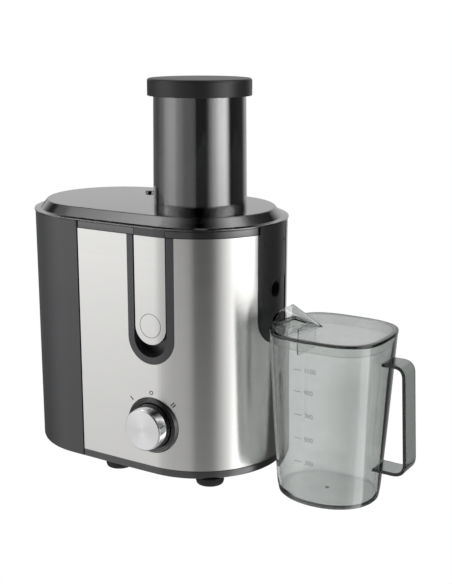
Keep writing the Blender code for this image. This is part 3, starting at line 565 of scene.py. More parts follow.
# ---- housing ----
def base_tray():
    shape = [(2.0, FOOT_HEIGHT), (0.6, FOOT_HEIGHT + 0.5), (0.0, FOOT_HEIGHT + 2.0), (0.0, BAND_TOP - 0.5),
             (0.5, BAND_TOP)]
    tray = loft("base_band", [raised(housing_outline(i), z) for i, z in shape])
    room = prism("room", housing_outline(2.6, SPLIT_X + 3.4), FOOT_HEIGHT + 2.5, BAND_TOP + 1)
    lip = box("lip", (SPLIT_X - 22, -50, 10.6), (SPLIT_X + 2.5, 50, 13.4))
    slots = [box(f"vent_{i}", (DRIVE_X - 24 + 11 * i, -26, 5), (DRIVE_X - 20 + 11 * i, 26, 12))
             for i in range(5)]
    holes = [rod(f"screw_way_{tag}", (x, y, 5), (x, y, 20), 2.3, 24) for tag, (x, y) in FEET.items()]
    join(tray, lip)
    cut(tray, room, *slots, *holes)
    piece(tray, "housing", "black_plastic", "base_tray")


def steel_wrap():
    """One sheet of brushed steel, bent round the housing, with its four cut-outs."""
    outline = housing_outline(0.0) + housing_outline(0.8)[::-1]
    wrap = prism("steel_wrap_sheet", outline, BAND_TOP + GAP, STEEL_TOP - GAP)
    for _, side in SIDES:
        cut(wrap, latch_block("latch_way", BEZEL_HALF + GAP, BEZEL_BOTTOM - GAP, ABOVE, side, *THROUGH))
    cut(wrap, spout_block("spout_way", SPOUT_HALF + GAP, SPOUT_BOTTOM - GAP, ABOVE, 100, 160),
        *dial_and_gland_ways())
    piece(wrap, "housing", "brushed_steel", "steel_wrap")


def motor_housing():
    shape = [(1.1, BAND_TOP + GAP), (1.1, STEEL_TOP), (0.4, STEEL_TOP), (0.0, STEEL_TOP + 0.4),
             (0.0, RIM_TOP - 1.0), (0.3, RIM_TOP - 0.3), (1.0, RIM_TOP)]
    shell = loft("housing_shell", [raised(housing_outline(i, corner=1.2), z) for i, z in shape])
    lower = prism("lower_room", housing_outline(3.7, SPLIT_X + 3.4), BAND_TOP - 2, DECK_Z)
    upper = prism("upper_room", housing_outline(4.6, SPLIT_X + 3.4), DECK_Z + 4, RIM_TOP + 5)
    cut(shell, lower, upper)
    for _, side in SIDES:
        cut(shell, latch_block("pocket", 22.4, 133.4, STEEL_TOP, side, *THROUGH),
            latch_block("head_way", LATCH_HALF + 0.5, LATCH_BOTTOM, ABOVE, side, *THROUGH))
    cut(shell, spout_block("end_opening", SPOUT_HALF + GAP, SPOUT_BOTTOM - GAP, ABOVE, 120, 160),
        box("pulp_way", (SPLIT_X - 5, -88.3, STEEL_TOP - GAP), (SPLIT_X + 6, 88.3, ABOVE)),
        *dial_and_gland_ways(),
        rod("shaft_way", (DRIVE_X, 0, 180), (DRIVE_X, 0, 200), 20.0, ROUND),
        rod("plunger_way", (-20.0, -86.2, 180), (-20.0, -86.2, 200), 2.2, 24))
    piece(shell, "housing", "black_plastic", "motor_housing")


def feet():
    for tag, (x, y) in FEET.items():
        shape = fillet([(14.2, FOOT_HEIGHT - GAP, 0.3), (15.0, 3.0, 1.5), (14.0, 0.0, 0.9), (6.0, 0.0, 0.5),
                        (6.0, 3.4, 0.3), (2.3, 3.4, 0.2), (2.3, FOOT_HEIGHT - GAP, 0.2)], 0.3)
        foot = turned(f"rubber_foot_{tag}", shape, x, y, steps=SMALL)
        piece(foot, "housing", "rubber", f"foot_{tag}")
        head = fillet([(0, 13.5, 0), (1.9, 13.5, 0.3), (1.9, 3.1, 0.1), (4.4, 3.1, 0.3), (4.4, 1.2, 0.8),
                       (0, 1.2, 0)], 0.1, closed=False)
        screw = turned(f"foot_screw_{tag}", head, x, y, steps=32)
        slots = [box(f"slot_{i}", (x - a, y - b, 0.8), (x + a, y + b, 2.0))
                 for i, (a, b) in enumerate(((2.6, 0.5), (0.5, 2.6)))]
        cut(screw, *slots)
        piece(screw, "housing", "plain_steel", f"screw_{tag}")


def cord_gland():
    shape = fillet([(5.0, 98.8, 0.6), (6.4, 98.8, 0.6), (8.2, 96.5, 0.5), (8.2, 92.9, 0.1), (7.0, 92.9, 0.1),
                    (7.0, 91.9, 0.1), (8.2, 91.9, 0.1), (8.2, 84.0, 0.2), (3.8, 84.0, 0.3), (3.8, 98.8, 0.8)],
                   0.2)
    gland = turned("cord_grommet", shape, GLAND_X, 0.0, GLAND_Z, SMALL, outward=1)
    piece(gland, "housing", "rubber", "cord_gland")


# ---- latches ----
def latch_trim(tag, side):
    trim = latch_slice(f"latch_trim_{tag}", side, BEZEL_HALF, BEZEL_BOTTOM, -0.6, 0.8, 120, STEEL_TOP - GAP)
    back = latch_block("back", 22.0, 133.8, STEEL_TOP - GAP, side, POCKET_FACE_Y - 2.0, 91.0)
    keep(back, wall_slice("keep", 0.3, 40, 120, 280))
    join(trim, back)
    cut(trim, latch_block("inner", BEZEL_HALF - BEZEL_WALL, BEZEL_BOTTOM + BEZEL_WALL, ABOVE, side,
                          POCKET_FACE_Y, 110), pin_way(side))
    soften(trim, 0.35)
    piece(trim, "housing", "charcoal_plastic", f"latch_bezel_{tag}")


def press_circle(name, low, high, inset_out, inset_in):
    """A ring that follows the wall's curve, between two radii and two insets."""
    profile = [(low, -200), (high, -200), (high, 200), (low, 200)]
    circle = turned(name, profile, LATCH_X, 0.0, PRESS_Z, SMALL, outward=1)
    return keep(circle, wall_slice("depth", inset_out, inset_in, 140, 200))


def latch_tongue(tag, side):
    body, z = f"{tag}_latch", LATCH_PIVOT_Z
    tongue = latch_slice(f"latch_tongue_{tag}", side, LATCH_HALF, LATCH_BOTTOM, 1.1, 4.6, 140, RIM_TOP)
    head = latch_slice("head", side, LATCH_HALF, LATCH_BOTTOM, 0.0, 3.0, STEEL_TOP, RIM_TOP)
    join(tongue, head, side_box("lugs", side, 16.5, (84.2, 90.0), (z - 3.4, z + 3.4)),
         side_box("hook", side, 7.0, (86.6, 90.0), (265.2, 267.6)))
    cut(tongue, pin_way(side), side_box("spring_room", side, 5.5, (80.0, 91.2), (z - 4.2, z + 4.2)))
    soften(tongue, 0.25)
    piece(tongue, body, "charcoal_plastic", f"latch_{tag}")

    face = latch_slice(f"latch_plate_{tag}", side, LATCH_HALF, LATCH_BOTTOM, 0.0, 0.8, 140, STEEL_TOP - GAP)
    cut(face, press_circle("groove", 12.3, 12.9, -1.0, 0.35))
    soften(face, 0.15, 1)
    piece(face, body, "brushed_steel", f"latch_face_{tag}")
    ring = press_circle(f"latch_ring_{tag}", 12.35, 12.85, 0.12, 0.34)
    keep(ring, side_box("half", side, 20, (20, 120), (140, 200)))
    piece(ring, body, "brushed_steel", look="engraved")

    turns, steps, radius, half = 6, 160, 2.45, 4.2
    coil = []
    for i in range(steps + 1):
        a = 2 * math.pi * turns * i / steps
        coil.append((LATCH_X - half + 2 * half * i / steps, side * LATCH_PIVOT_Y + radius * math.cos(a),
                     z + radius * math.sin(a)))
    piece(wire(f"latch_coil_{tag}", coil, 0.4), "housing", "plain_steel", f"latch_spring_{tag}")


def wire(name, path, radius, steps=10):
    """A round wire along a path."""
    points = [Vector(p) for p in path]
    rings = []
    side = None
    for i, point in enumerate(points):
        along = (points[min(i + 1, len(points) - 1)] - points[max(i - 1, 0)]).normalized()
        if side is None:
            side = along.orthogonal().normalized()
        side = (side - along * side.dot(along)).normalized()
        up = along.cross(side)
        angles = [2 * math.pi * k / steps for k in range(steps)]
        rings.append([tuple(point + side * radius * math.cos(a) + up * radius * math.sin(a)) for a in angles])
    return loft(name, rings, sharp=60.0)


# ---- spout end ----
def spout_end():
    lip = 2.3                                    # width of the surround's border
    surround = wall_slice("spout_surround", -0.3, 4.3, SPOUT_BOTTOM - 10, STEEL_TOP - GAP)
    keep(surround, spout_block("keep", SPOUT_HALF, SPOUT_BOTTOM, ABOVE, 100, 160))
    recess = wall_slice("recess", -5, 0.5, SPOUT_BOTTOM - 10, ABOVE)
    keep(recess, spout_block("keep", SPOUT_HALF - lip, SPOUT_BOTTOM + lip, ABOVE, 100, 170))
    bore = SPOUT_RADIUS + GAP
    cut(surround, recess, spout_block("notch", bore, SPOUT_Z - bore, ABOVE, 100, 170),
        box("way", (100, lip - SPOUT_HALF, SPLIT_Z), (170, SPOUT_HALF - lip, ABOVE)))
    soften(surround, 0.55)
    piece(surround, "housing", "charcoal_plastic", "spout_bezel", look="matt_black")

    r = BOWL_RADIUS
    profile = fillet([(r, 262, 0.5), (r, 193, 5.0), (18, 193, 0.5), (18, 214, 0.4), (20, 214, 0.4),
                      (20, 195.5, 2.0), (r - 2, 195.5, 3.5), (r - 2, 262, 0.5)], 0.4)
    bowl = turned("collector_bowl", profile)
    cut(bowl, rod("seat", (DRIVE_X + r - 3.4, 0, SPOUT_Z), (DRIVE_X + r + 6, 0, SPOUT_Z), bore))
    piece(bowl, "collector", "charcoal_plastic", "juice_collector")
    spout = rod("spout_panel", (DRIVE_X + r - 3.0, 0, SPOUT_Z), (147.0, 0, SPOUT_Z), SPOUT_RADIUS)
    plug = box("plug", (140.0, -SPOUT_RADIUS, SPOUT_Z), (146.9, SPOUT_RADIUS, SPLIT_Z + 3))
    panel = wall_slice("panel", 0.0, 3.0, SPLIT_Z + GAP, RIM_TOP)
    keep(panel, box("keep", (100, -26.3, 200), (170, 26.3, 290)))
    soften(panel, 0.8)
    join(spout, plug, panel, box("web", (DRIVE_X + r + 1, -20, 250), (146, 20, 252.5)))
    cut(spout, rod("bore", (DRIVE_X + r - 12, 0, SPOUT_Z), (160, 0, SPOUT_Z), SPOUT_RADIUS - 1.2))
    piece(spout, "collector", "charcoal_plastic", "collector_spout", look="matt_black")


# ---- basket ----
def basket():
    profile = fillet([(0, 221, 0), (53, 221, 0.5), (53, 216, 0.6), (25, 216, 0.4), (25, 204, 0.4),
                      (22.5, 204, 0.4), (22.5, 216, 0.4), (16, 216, 0.8), (16, 204, 0.6), (0, 204, 0)], 0.4,
                     closed=False)
    hub = turned("basket_floor", profile)
    socket = rod("socket", (DRIVE_X, 0, 190), (DRIVE_X, 0, 214.6), 11.6, 6)
    cut(hub, socket)
    piece(hub, "basket", "white_plastic", "basket_hub")

    ring = fillet([(68.5, 263.5, 0.8), (68.5, 257.3, 0.6), (64.6, 257.3, 0.4), (64.6, 263.5, 0.8)], 0.5)
    piece(turned("basket_ring", ring), "basket", "white_plastic", "basket_rim")

    piece(sieve(), "basket", "plain_steel", "filter_mesh")
    piece(grater(), "basket", "plain_steel", "grater_disc")


def sieve(columns=132, rows=15):
    """The conical filter: a steel sheet with a lozenge hole in every cell."""
    bm = bmesh.new()
    low, high = (52.0, 221.5), (66.0, 256.8)
    hole = 0.30

    def spot(u, v, skin):
        a = 2 * math.pi * u / columns
        r = low[0] + (high[0] - low[0]) * v / rows + skin
        z = low[1] + (high[1] - low[1]) * v / rows
        return DRIVE_X + r * math.cos(a), r * math.sin(a), z

    layers = []
    for skin in (0.0, 0.5):
        grid = [[bm.verts.new(spot(u, v, skin)) for u in range(columns)] for v in range(rows + 1)]
        holes = {}
        for v in range(rows):
            for u in range(columns):
                holes[u, v] = [bm.verts.new(spot(u + 0.5 + du * hole, v + 0.5 + dv * hole, skin))
                               for du, dv in ((-1, -1), (1, -1), (1, 1), (-1, 1))]
        layers.append((grid, holes))
    for side, (grid, holes) in enumerate(layers):
        for v in range(rows):
            for u in range(columns):
                w = (u + 1) % columns
                frame_corners = (grid[v][u], grid[v][w], grid[v + 1][w], grid[v + 1][u])
                ring = holes[u, v]
                for k in range(4):
                    face = (frame_corners[k], frame_corners[(k + 1) % 4], ring[(k + 1) % 4], ring[k])
                    bm.faces.new(face if side else face[::-1])
    (inner, inner_holes), (outer, outer_holes) = layers
    for key, ring in inner_holes.items():
        other = outer_holes[key]
        for k in range(4):
            bm.faces.new((ring[k], ring[(k + 1) % 4], other[(k + 1) % 4], other[k]))
    for v in (0, rows):
        for u in range(columns):
            w = (u + 1) % columns
            bm.faces.new((inner[v][u], inner[v][w], outer[v][w], outer[v][u]))
    return mesh_object("sieve_cone", bm, 50.0)


def grater():
    """The grating disc: a rolled-edge plate with a spiral of small upset teeth."""
    profile = fillet([(0, 222.4, 0), (48.4, 222.4, 0.4), (49.2, 223.0, 0.3), (50, 223.0, 0.3),
                      (50, 221.3, 0.3), (0, 221.3, 0)], 0.3, closed=False)
    disc = turned("grating_disc", profile)
    bm = bmesh.new()
    for ring in range(9):
        radius = 8.0 + 4.6 * ring
        count = max(8, int(2 * math.pi * radius / 6.0))
        for i in range(count):
            a = 2 * math.pi * (i + 0.5 * (ring % 2)) / count
            ux, uy = math.cos(a), math.sin(a)
            place = Vector((DRIVE_X + radius * ux, radius * uy, 222.3))
            out, along = Vector((ux, uy, 0)), Vector((-uy, ux, 0))
            wide = place + along * 0.7
            foot = [bm.verts.new(p) for p in (place - along * 1.1, wide + out * 0.8, wide - out * 0.8)]
            tip = bm.verts.new(place + along * 0.9 + Vector((0, 0, 1.3)))
            bm.faces.new(foot[::-1])
            for k in range(3):
                bm.faces.new((foot[k], foot[(k + 1) % 3], tip))
    teeth = mesh_object("teeth", bm, 20.0)
    return join(disc, teeth)


# ---- switch ----
def dial():
    profile = fillet([(29.0, 95.2, 0.3), (DIAL_RADIUS, 94.2, 0.4), (DIAL_RADIUS, 84.5, 0.3), (3.8, 84.5, 0.2),
                      (3.8, 87.6, 0.2), (24.3, 87.6, 0.6), (24.3, 93.6, 0.3), (25.4, 94.5, 0.1),
                      (26.4, 94.7, 0.1), (26.7, 94.4, 0.1), (27.0, 94.8, 0.1)], 0.3)
    piece(knob_turned("dial_surround", profile), "housing", "gloss_black", "dial_bezel")
    r = KNOB_RADIUS
    profile = fillet([(0, 110.3, 0), (r - 0.7, 110.3, 0.2), (r, 109.6, 0.4), (r + 1.4, 95.0, 0.3),
                      (r + 1.4, 88.2, 0.4), (3.2, 88.2, 0.2), (3.2, 76.0, 0.4), (0, 76.0, 0)], 0.3,
                     closed=False)
    piece(knob_turned("knob_body", profile), "knob", "chrome", "knob")
    profile = fillet([(0, KNOB_FACE_Y - 0.15, 0), (r - 4.0, KNOB_FACE_Y, 0.5), (r - 1.3, KNOB_FACE_Y, 0.2),
                      (r - 1.0, 110.7, 0.1), (r - 1.0, 110.5, 0.0), (0, 110.5, 0)], 0.2, closed=False)
    piece(knob_turned("knob_disc", profile), "knob", "spun_aluminium", "knob_face")


# ---- lid, tube and pusher ----
def lid():
    low = RIM_TOP + GAP
    under = LID_TOP - LID_SKIN
    profile = fillet([(16.3, under, 0), (14.9, under, 0.6), (7.2, 269.8, 0.5), (7.2, 263.1, 0.3),
                      (5.2, 263.1, 0.3), (5.2, low, 0.2), (-1.0, low, 0.3), (-1.0, 272.0, 0.4),
                      (6.0, 272.3, 0.5), (13.1, 281.2, 0.4), (13.9, LID_TOP, 0.3), (16.0, LID_TOP, 0)],
                     0.3, 3, closed=False)
    cover = loft("smoke_cover", [raised(body_outline(i, 64, 12), z) for i, z in profile])
    inner = TUBE_RADIUS - 3.0
    tube = turned("tube", fillet([(TUBE_RADIUS - 1.3, TUBE_TOP, 0.6), (TUBE_RADIUS, 287.6, 0.2),
                                  (TUBE_RADIUS - 0.6, 287.2, 0.1), (TUBE_RADIUS - 0.6, 286.6, 0.1),
                                  (TUBE_RADIUS + 0.3, 286.2, 0.2), (TUBE_RADIUS + 0.3, LID_TOP - 1, 0),
                                  (TUBE_RADIUS - 0.2, LID_TOP - 1, 0), (TUBE_RADIUS - 0.6, 232, 0.6),
                                  (inner, 232, 0.6), (inner, TUBE_TOP, 0.8)], 0.3))
    rib = turned("rib", [(74.2, under + 0.6), (74.2, 264.3), (71.8, 264.3), (71.8, under + 0.6)])
    cut(rib, box("rib_cut", (-60, -80, 260), (18, 80, under + 0.2)))
    profile = [(0, 284.2, 0), (4.4, 284.2, 0.6), (5.6, LID_TOP - 1.2, 0), (0, LID_TOP - 1.2, 0)]
    boss = turned("boss", fillet(profile, 0.5, closed=False), -44.0, 44.0, steps=SMALL)
    slots = [side_box(f"hook_way_{side}", side, 8.0, (80.0, 91.5), (264.6, 268.2)) for side in (-1, 1)]
    cut(cover, rod("bore", (DRIVE_X, 0, 270), (DRIVE_X, 0, 290), TUBE_RADIUS - 1.4, ROUND), *slots)
    join(cover, tube, rib, boss)
    piece(cover, "cover", "smoke_plastic", "lid")


def pusher():
    inner = TUBE_RADIUS - 4.3
    shape = fillet([(0, 238.2, 0), (inner - 2.0, 238.2, 1.5), (inner - 2.0, 399.0, 0), (inner, 399.0, 0),
                    (inner, 236.0, 2.0), (0, 236.0, 0)], 0.3, closed=False)
    # the pusher's plastic is the lid's smoke plastic; its denser copy is painted shade in the middle of the
    # tube
    piece(turned("pusher_sleeve", shape), "pusher", "smoke_plastic", "pusher_body", look="smoke_with_painted_shade")
    c = CAP_RADIUS
    cap = fillet([(0, CAP_TOP, 0), (c - 6, CAP_TOP - 0.1, 0), (c, CAP_TOP - 0.6, 3.2), (c, CAP_BOTTOM, 0.5),
                  (c - 2.6, CAP_BOTTOM, 0.5), (c - 2.6, TUBE_TOP + GAP, 0.8), (0, TUBE_TOP + GAP, 0)], 0.4, 6,
                 closed=False)
    piece(turned("pusher_top", cap), "pusher", "black_plastic", "pusher_cap", look="matt_black")


# ---- pulp container ----
def pulp_container():
    shape = [(1.6, FOOT_HEIGHT), (0.4, FOOT_HEIGHT + 0.5), (0.0, FOOT_HEIGHT + 1.6), (0.0, RIM_TOP - 1.0),
             (0.3, RIM_TOP - 0.3), (1.0, RIM_TOP)]
    tub = loft("pulp_tub", [raised(container_outline(i, corner=2.0), z) for i, z in shape])
    room = loft("room", [raised(container_outline(i, SPLIT_X - 3.3 - (i - 2.5)), z)
                         for i, z in ((4.5, 16.6), (3.0, 17.4), (2.5, 19.0), (2.5, RIM_TOP + 5))])
    well = prism("well", container_outline(6.0, SPLIT_X - 4.0), FOOT_HEIGHT + 2.5, 20)
    cut(well, box("well_end", (SPLIT_X - 28.0, -100, 0), (0, 100, 30)))
    cut(tub, room, well, box("notch", (SPLIT_X - 25, -54, 0), (SPLIT_X + 5, 54, 14.2)),
        box("pulp_way", (SPLIT_X - 8, -89.4, STEEL_TOP - GAP), (SPLIT_X + 6, 89.4, ABOVE)))
    piece(tub, "container", "charcoal_plastic", "pulp_container")


# ---- jug ----
def jug_section(t, inset=0.0):
    """Middle, half length, half width and squareness of the jug at t of its height."""
    length = JUG_BASE[0] + (JUG_RIM[0] - JUG_BASE[0]) * t - inset
    width = JUG_BASE[1] + (JUG_RIM[1] - JUG_BASE[1]) * t - inset
    return JUG_X + JUG_LEAN * t, length, width, 2.1 + 0.9 * t ** 0.6


def jug_ring(t, inset, z, count=112, round_in=0.0):
    """One level of the jug; round_in rounds the corners of its handle half further."""
    cx, ax, ay, square = jug_section(t, inset)
    ring = []
    for i in range(count):
        a = 2 * math.pi * i / count
        c, s = math.cos(a), math.sin(a)
        power = square - (round_in if c > 0 else 0.0)
        ring.append((cx + ax * math.copysign(abs(c) ** (2 / power), c),
                     JUG_Y + ay * math.copysign(abs(s) ** (2 / power), s), z))
    return ring


def jug_body():
    h = JUG_HEIGHT
    rings = [jug_ring(0.0, inset, z) for inset, z in ((3.4, 0.0), (1.4, 0.35), (0.4, 1.3))]
    levels = [i / 16 for i in range(17)]
    rings += [jug_ring(t, 0.0, max(3.0, t * h)) for t in levels]
    rings[-1] = jug_ring(1.0, 0.0, h - 0.5)
    rings += [jug_ring(1.0, 0.4, h), jug_ring(1.0, JUG_WALL - 0.4, h), jug_ring(1.0, JUG_WALL, h - 0.5)]
    rings += [jug_ring(t, JUG_WALL, t * h, round_in=0.1 + 0.5 * min(t, 3 * (1 - t)))
              for t in reversed(levels[1:-1])]
    rings += [jug_ring(0.0, inset, z) for inset, z in ((JUG_WALL, 6.5), (JUG_WALL + 0.6, 4.9),
                                                      (JUG_WALL + 2.0, 4.1), (JUG_WALL + 5.0, 4.0))]
    body = loft("jug_vessel", rings)
    profile = fillet([(0, 5.4, 0), (1.0, 5.4, 0.2), (2.6, 3.6, 0), (0, 3.6, 0)], 0.2, closed=False)
    gate = turned("gate", profile, JUG_X, JUG_Y, steps=24)
    join(body, gate)
    piece(body, "jug", "clear_smoke", "jug_body")


def jug_hood(name, half, height, base_z, near, tip, steps=48, rows=14):
    """Half cone over the pouring side; its mouth faces the juicer, its tip is inboard."""
    rings = []
    for k in range(rows + 1):
        t = k / rows
        shrink = 1 - 0.97 * t
        arc = []
        for i in range(steps + 1):
            c, up = math.cos(math.pi * i / steps), abs(math.sin(math.pi * i / steps))
            across = math.copysign(abs(c) ** (2 / HOOD_SQUARE), c)
            x = near + (tip - near) * t + HOOD_LEAN * up ** 2.6 * (1 - t)
            z = base_z + height * shrink * up ** (2 / HOOD_SQUARE)
            arc.append((x, JUG_Y - half * shrink * across, z))
        rings.append(arc)
    return loft(name, rings)


def jug_cover():
    profile = fillet([(8.0, 172.4, 0), (5.0, 172.4, 0.4), (5.0, 162.5, 0.3), (3.4, 162.5, 0.3),
                      (3.4, 172.1, 0.3), (2.4, 172.1, 0), (2.4, JUG_LID_TOP, 0), (6.0, JUG_LID_TOP, 0)],
                     0.3, 3, closed=False)
    cover = loft("jug_cover_plate", [jug_ring(1.0, inset, z) for inset, z in profile])
    profile = fillet([(2.3, 172.1), (2.3, JUG_LID_TOP), (-0.4, JUG_LID_TOP, 0.8), (-0.4, 172.1, 0.4)], 0.1)
    bead = loft("jug_cover_bead", [jug_ring(1.0, inset, z) for inset, z in profile], ring_closed=True)
    # the rim bead is the cover's clear smoke in a denser copy: a painted dark outline of shade along the
    # cover's edge
    piece(bead, "jug_cover", "clear_smoke", look="smoke_with_painted_shade")
    hood = jug_hood("hood", HOOD_HALF, HOOD_HEIGHT, 174.0, HOOD_MOUTH_X, HOOD_TIP_X)
    hollow = jug_hood("hollow", HOOD_HALF - 2, HOOD_HEIGHT - 2.0, 174.4, HOOD_MOUTH_X - 2, HOOD_TIP_X - 4.5)
    outline = [(170.5, JUG_Y - 14), (190, JUG_Y - 6.5), (190, JUG_Y + 6.5), (170.5, JUG_Y + 14)]
    hole = prism("hole", fillet(outline, 2.0), 150, 176)
    join(cover, hood)
    cut(cover, hollow, hole)
    piece(cover, "jug_cover", "clear_smoke", "jug_lid")
    outline = [(JUG_Y - 19, 146.0), (JUG_Y + 19, 146.0), (JUG_Y + 19, 172.1, 0), (JUG_Y - 19, 172.1, 0)]
    flap = prism("froth_flap", fillet(outline, 4.0, 8), 192.0, 193.8, "X")
    soften(flap, 0.4)
    piece(flap, "jug_cover", "clear_smoke", "froth_separator")


def jug_handle():
    corners = [(279.5, 149.2), (303.4, 149.6, 14.5), (309.2, 39.2, 13.0), (272.5, 39.4)]
    path = [(x, HANDLE_Y, z) for x, z in fillet(corners, 0.0, 12, closed=False)]
    w, t = HANDLE_HALF_WIDTH, HANDLE_THICK / 2
    section = fillet([(-w, -t), (w, -t), (w, t), (-w, t)], 0.9, 4)
    grip = sweep("jug_grip", path, section)
    cut(grip, loft("wall", [jug_ring(t / 8, 1.0, t / 8 * JUG_HEIGHT) for t in range(9)]))
    # the handle is the jug's clear smoke in a denser copy: painted shade on the grip
    piece(grip, "jug", "clear_smoke", "jug_handle", look="handle_smoke_with_painted_shade")


def jug_front(x, z):
    """A point on the jug's front wall and the outward direction there."""
    t = z / JUG_HEIGHT
    cx, ax, ay, power = jug_section(t)
    u = (x - cx) / ax
    v = (1 - abs(u) ** power) ** (1 / power)
    normal = Vector((math.copysign(abs(u) ** (power - 1), u) / ax, -v ** (power - 1) / ay, 0)).normalized()
    return Vector((x, JUG_Y - ay * v, z)), normal


# ---- printed marks ----
def dial_marks():
    """I, O and II round the knob, as thin printed solids on the steel."""
    radius, tall, thin = 36.0, 5.0, 0.6

    def wall(x):
        if x <= HALF_STRAIGHT:
            return side_y(x, END_RADIUS)
        round_y = math.sqrt(END_RADIUS ** 2 - (x - HALF_STRAIGHT) ** 2)
        return round_y * side_y(x, END_RADIUS) / END_RADIUS

    def bar(name, angle, shift_across):
        ux, uz = math.sin(angle), math.cos(angle)
        corners = []
        for along, across in ((-1, -1), (1, -1), (1, 1), (-1, 1)):
            a, c = along * tall / 2, across * thin + shift_across
            corners.append((KNOB_X + ux * (radius + a) + uz * c, KNOB_Z + uz * (radius + a) - ux * c))
        return loft(name, [[(x, -wall(x) - out, z) for x, z in corners] for out in (0.09, -0.4)])

    for name, angle, across in (("mark_one", -45, 0.0), ("mark_two_a", 44, -1.25), ("mark_two_b", 44, 1.25)):
        piece(bar(name, math.radians(angle), across), "housing", "black_plastic", look="printed_grey")
    surface = wall(KNOB_X)
    ring = turned("mark_zero", [(1.5, surface - 0.4), (2.3, surface - 0.4), (2.3, surface + 0.09),
                                (1.5, surface + 0.09)], KNOB_X - 0.6, 0.0, KNOB_Z + 35.5, SMALL, outward=-1)
    piece(ring, "housing", "black_plastic", look="printed_grey")


def on_jug(name, bm, x, z, lift=0.22):
    """Wrap a flat drawing (across, up, depth) in mm on the jug's front wall at x and z."""
    for v in bm.verts:
        across, up, depth = v.co
        spot, normal = jug_front(x + across, z + up)
        v.co = spot + normal * (depth * lift - 0.1)
    return mesh_object(name, bm, 60.0)


def jug_marks():
    """Graduations and their numbers, standing a hair proud of the jug's wall."""
    for volume, height in ((1100, 144.0), (900, 121.5), (700, 97.0), (500, 72.0), (300, 47.0)):
        bm = bmesh.new()
        bmesh.ops.create_cube(bm, size=1.0)
        bmesh.ops.scale(bm, vec=(8.0, 0.7, 1.5), verts=bm.verts)
        bmesh.ops.translate(bm, vec=(4.0, 0, 0.75), verts=bm.verts)     # its left end at MARK_X
        piece(on_jug(f"tick_{volume}", bm, MARK_X, height), "jug", "clear_smoke", look="moulded_mark")
        text = bpy.data.curves.new(f"number_{volume}", "FONT")
        text.body = str(volume)
        text.size, text.extrude, text.align_x, text.align_y = 6.6, 0.75, "LEFT", "CENTER"
        text.resolution_u = 3
        holder = new_object(text.name, text)
        mesh = evaluated_mesh(holder)
        bpy.data.objects.remove(holder)
        bm = bmesh.new()
        bm.from_mesh(mesh)
        bmesh.ops.remove_doubles(bm, verts=bm.verts, dist=0.0001)
        bmesh.ops.translate(bm, vec=(11.0, 0, 0.75), verts=bm.verts)
        piece(on_jug(f"number_{volume}", bm, MARK_X, height), "jug", "clear_smoke", look="moulded_mark")


# ---- carried-over nodes, stage, lights and camera ----
def finish_cad_nodes():
    by_slot = {sub["node"]: sub["material_slot"] for sub in frame["record"]["subparts"]}
    for node, obj in frame["nodes"].items():
        obj.data.materials.clear()
        obj.data.materials.append(LOOKS[by_slot[node]])


def stage():
    bm = bmesh.new()
    bmesh.ops.create_grid(bm, x_segments=8, y_segments=8, size=2500)
    floor = mesh_object("floor", bm)
    fill(new_material("paper")["Principled BSDF"],
         {"Base Color": (0, 0, 0, 1), "Roughness": 0.8, "Specular IOR Level": 0.0,
          "Emission Color": (1, 1, 1, 1), "Emission Strength": 1.0})
    floor.data.materials.append(LOOKS["paper"])
    floor.visible_glossy = False


# light round the object by direction, in degrees from -Y towards +X, as (direction, level):
# LOW is level with the object, BELOW under that and HIGH above it; STRIPS are tall softboxes
# that are brightest low down
LOW = [(-180, 0.6), (-160, 0.45), (-140, 0.2), (-110, 0.15), (-92, 0.2), (-74, 0.5), (-60, 0.76),
       (-34, 0.87), (-30, 0.8), (-24, 0.52), (-6, 0.47), (6, 0.47), (14, 0.44), (21, 0.34), (25, 0.07),
       (46, 0.06), (50, 0.14), (56, 0.36), (66, 0.72), (79, 1.0), (92, 1.2), (104, 1.5), (110, 0.4),
       (115, 0.06), (160, 0.08), (170, 0.35), (180, 0.6)]
HIGH = [(-180, 0.6), (-116, 0.58), (-108, 0.33), (-103, 0.15), (-97, 0.05), (-91, 0.1), (-86, 0.34),
        (-74, 0.45), (-68, 0.65), (-64, 1.15), (-60, 1.65), (-56, 1.65), (-52, 1.25), (-35, 0.9), (-25, 0.6),
        (-14, 0.3), (-1, 0.14), (12, 0.05), (26, 0.0), (40, 0.01), (54, 0.1), (67, 0.3), (79, 0.85),
        (89, 1.4), (99, 1.95), (108, 1.9), (116, 1.5), (123, 0.8), (130, 0.3), (143, 0.12), (165, 0.05),
        (180, 0.6)]
STRIPS = [(-180, 0.0), (-70, 0.0), (-58, 0.4), (-45, 0.7), (-30, 0.6), (-17, 0.35), (-4, 0.05), (6, 0.0),
          (52, 0.0), (58, 0.3), (70, 1.0), (83, 2.2), (97, 2.3), (106, 0.6), (112, 0.0), (180, 0.0)]
BELOW = [(-180, 0.02), (-92, 0.02), (-70, 0.2), (-58, 0.62), (50, 0.62), (70, 1.0), (80, 3.0), (103, 3.4),
         (110, 0.5), (115, 0.05), (180, 0.02)]
STRIP_MIDDLE, STRIP_SPREAD = -0.08, 0.13     # sine of the strips' height, and how far they reach
GLOW = (-0.25, -0.39, 0.5)                   # where LOW starts and stops giving way to BELOW, and how far
HORIZON = (-0.02, 0.10)                      # sine of the height where LOW gives way to HIGH
BRIGHTEST = 4.0


def math_node(nodes, operation, *values):
    node = add(nodes, "Math")
    node.operation = operation
    for i, value in enumerate(values):
        if isinstance(value, (int, float)):
            node.inputs[i].default_value = value
        else:
            link(value, node.inputs[i])
    return node.outputs[0]


def level_ramp(nodes, factor, table):
    ramp = add(nodes, "ValToRGB")
    stops = ramp.color_ramp.elements
    while len(stops) > 1:
        stops.remove(stops[-1])
    for i, (angle, level) in enumerate(table):
        place = (angle + 180) / 360
        stop = stops[0] if i == 0 else stops.new(place)
        stop.position = place
        stop.color = (*[level / BRIGHTEST] * 3, 1)
    link(factor, ramp.inputs["Fac"])
    return ramp.outputs["Color"]


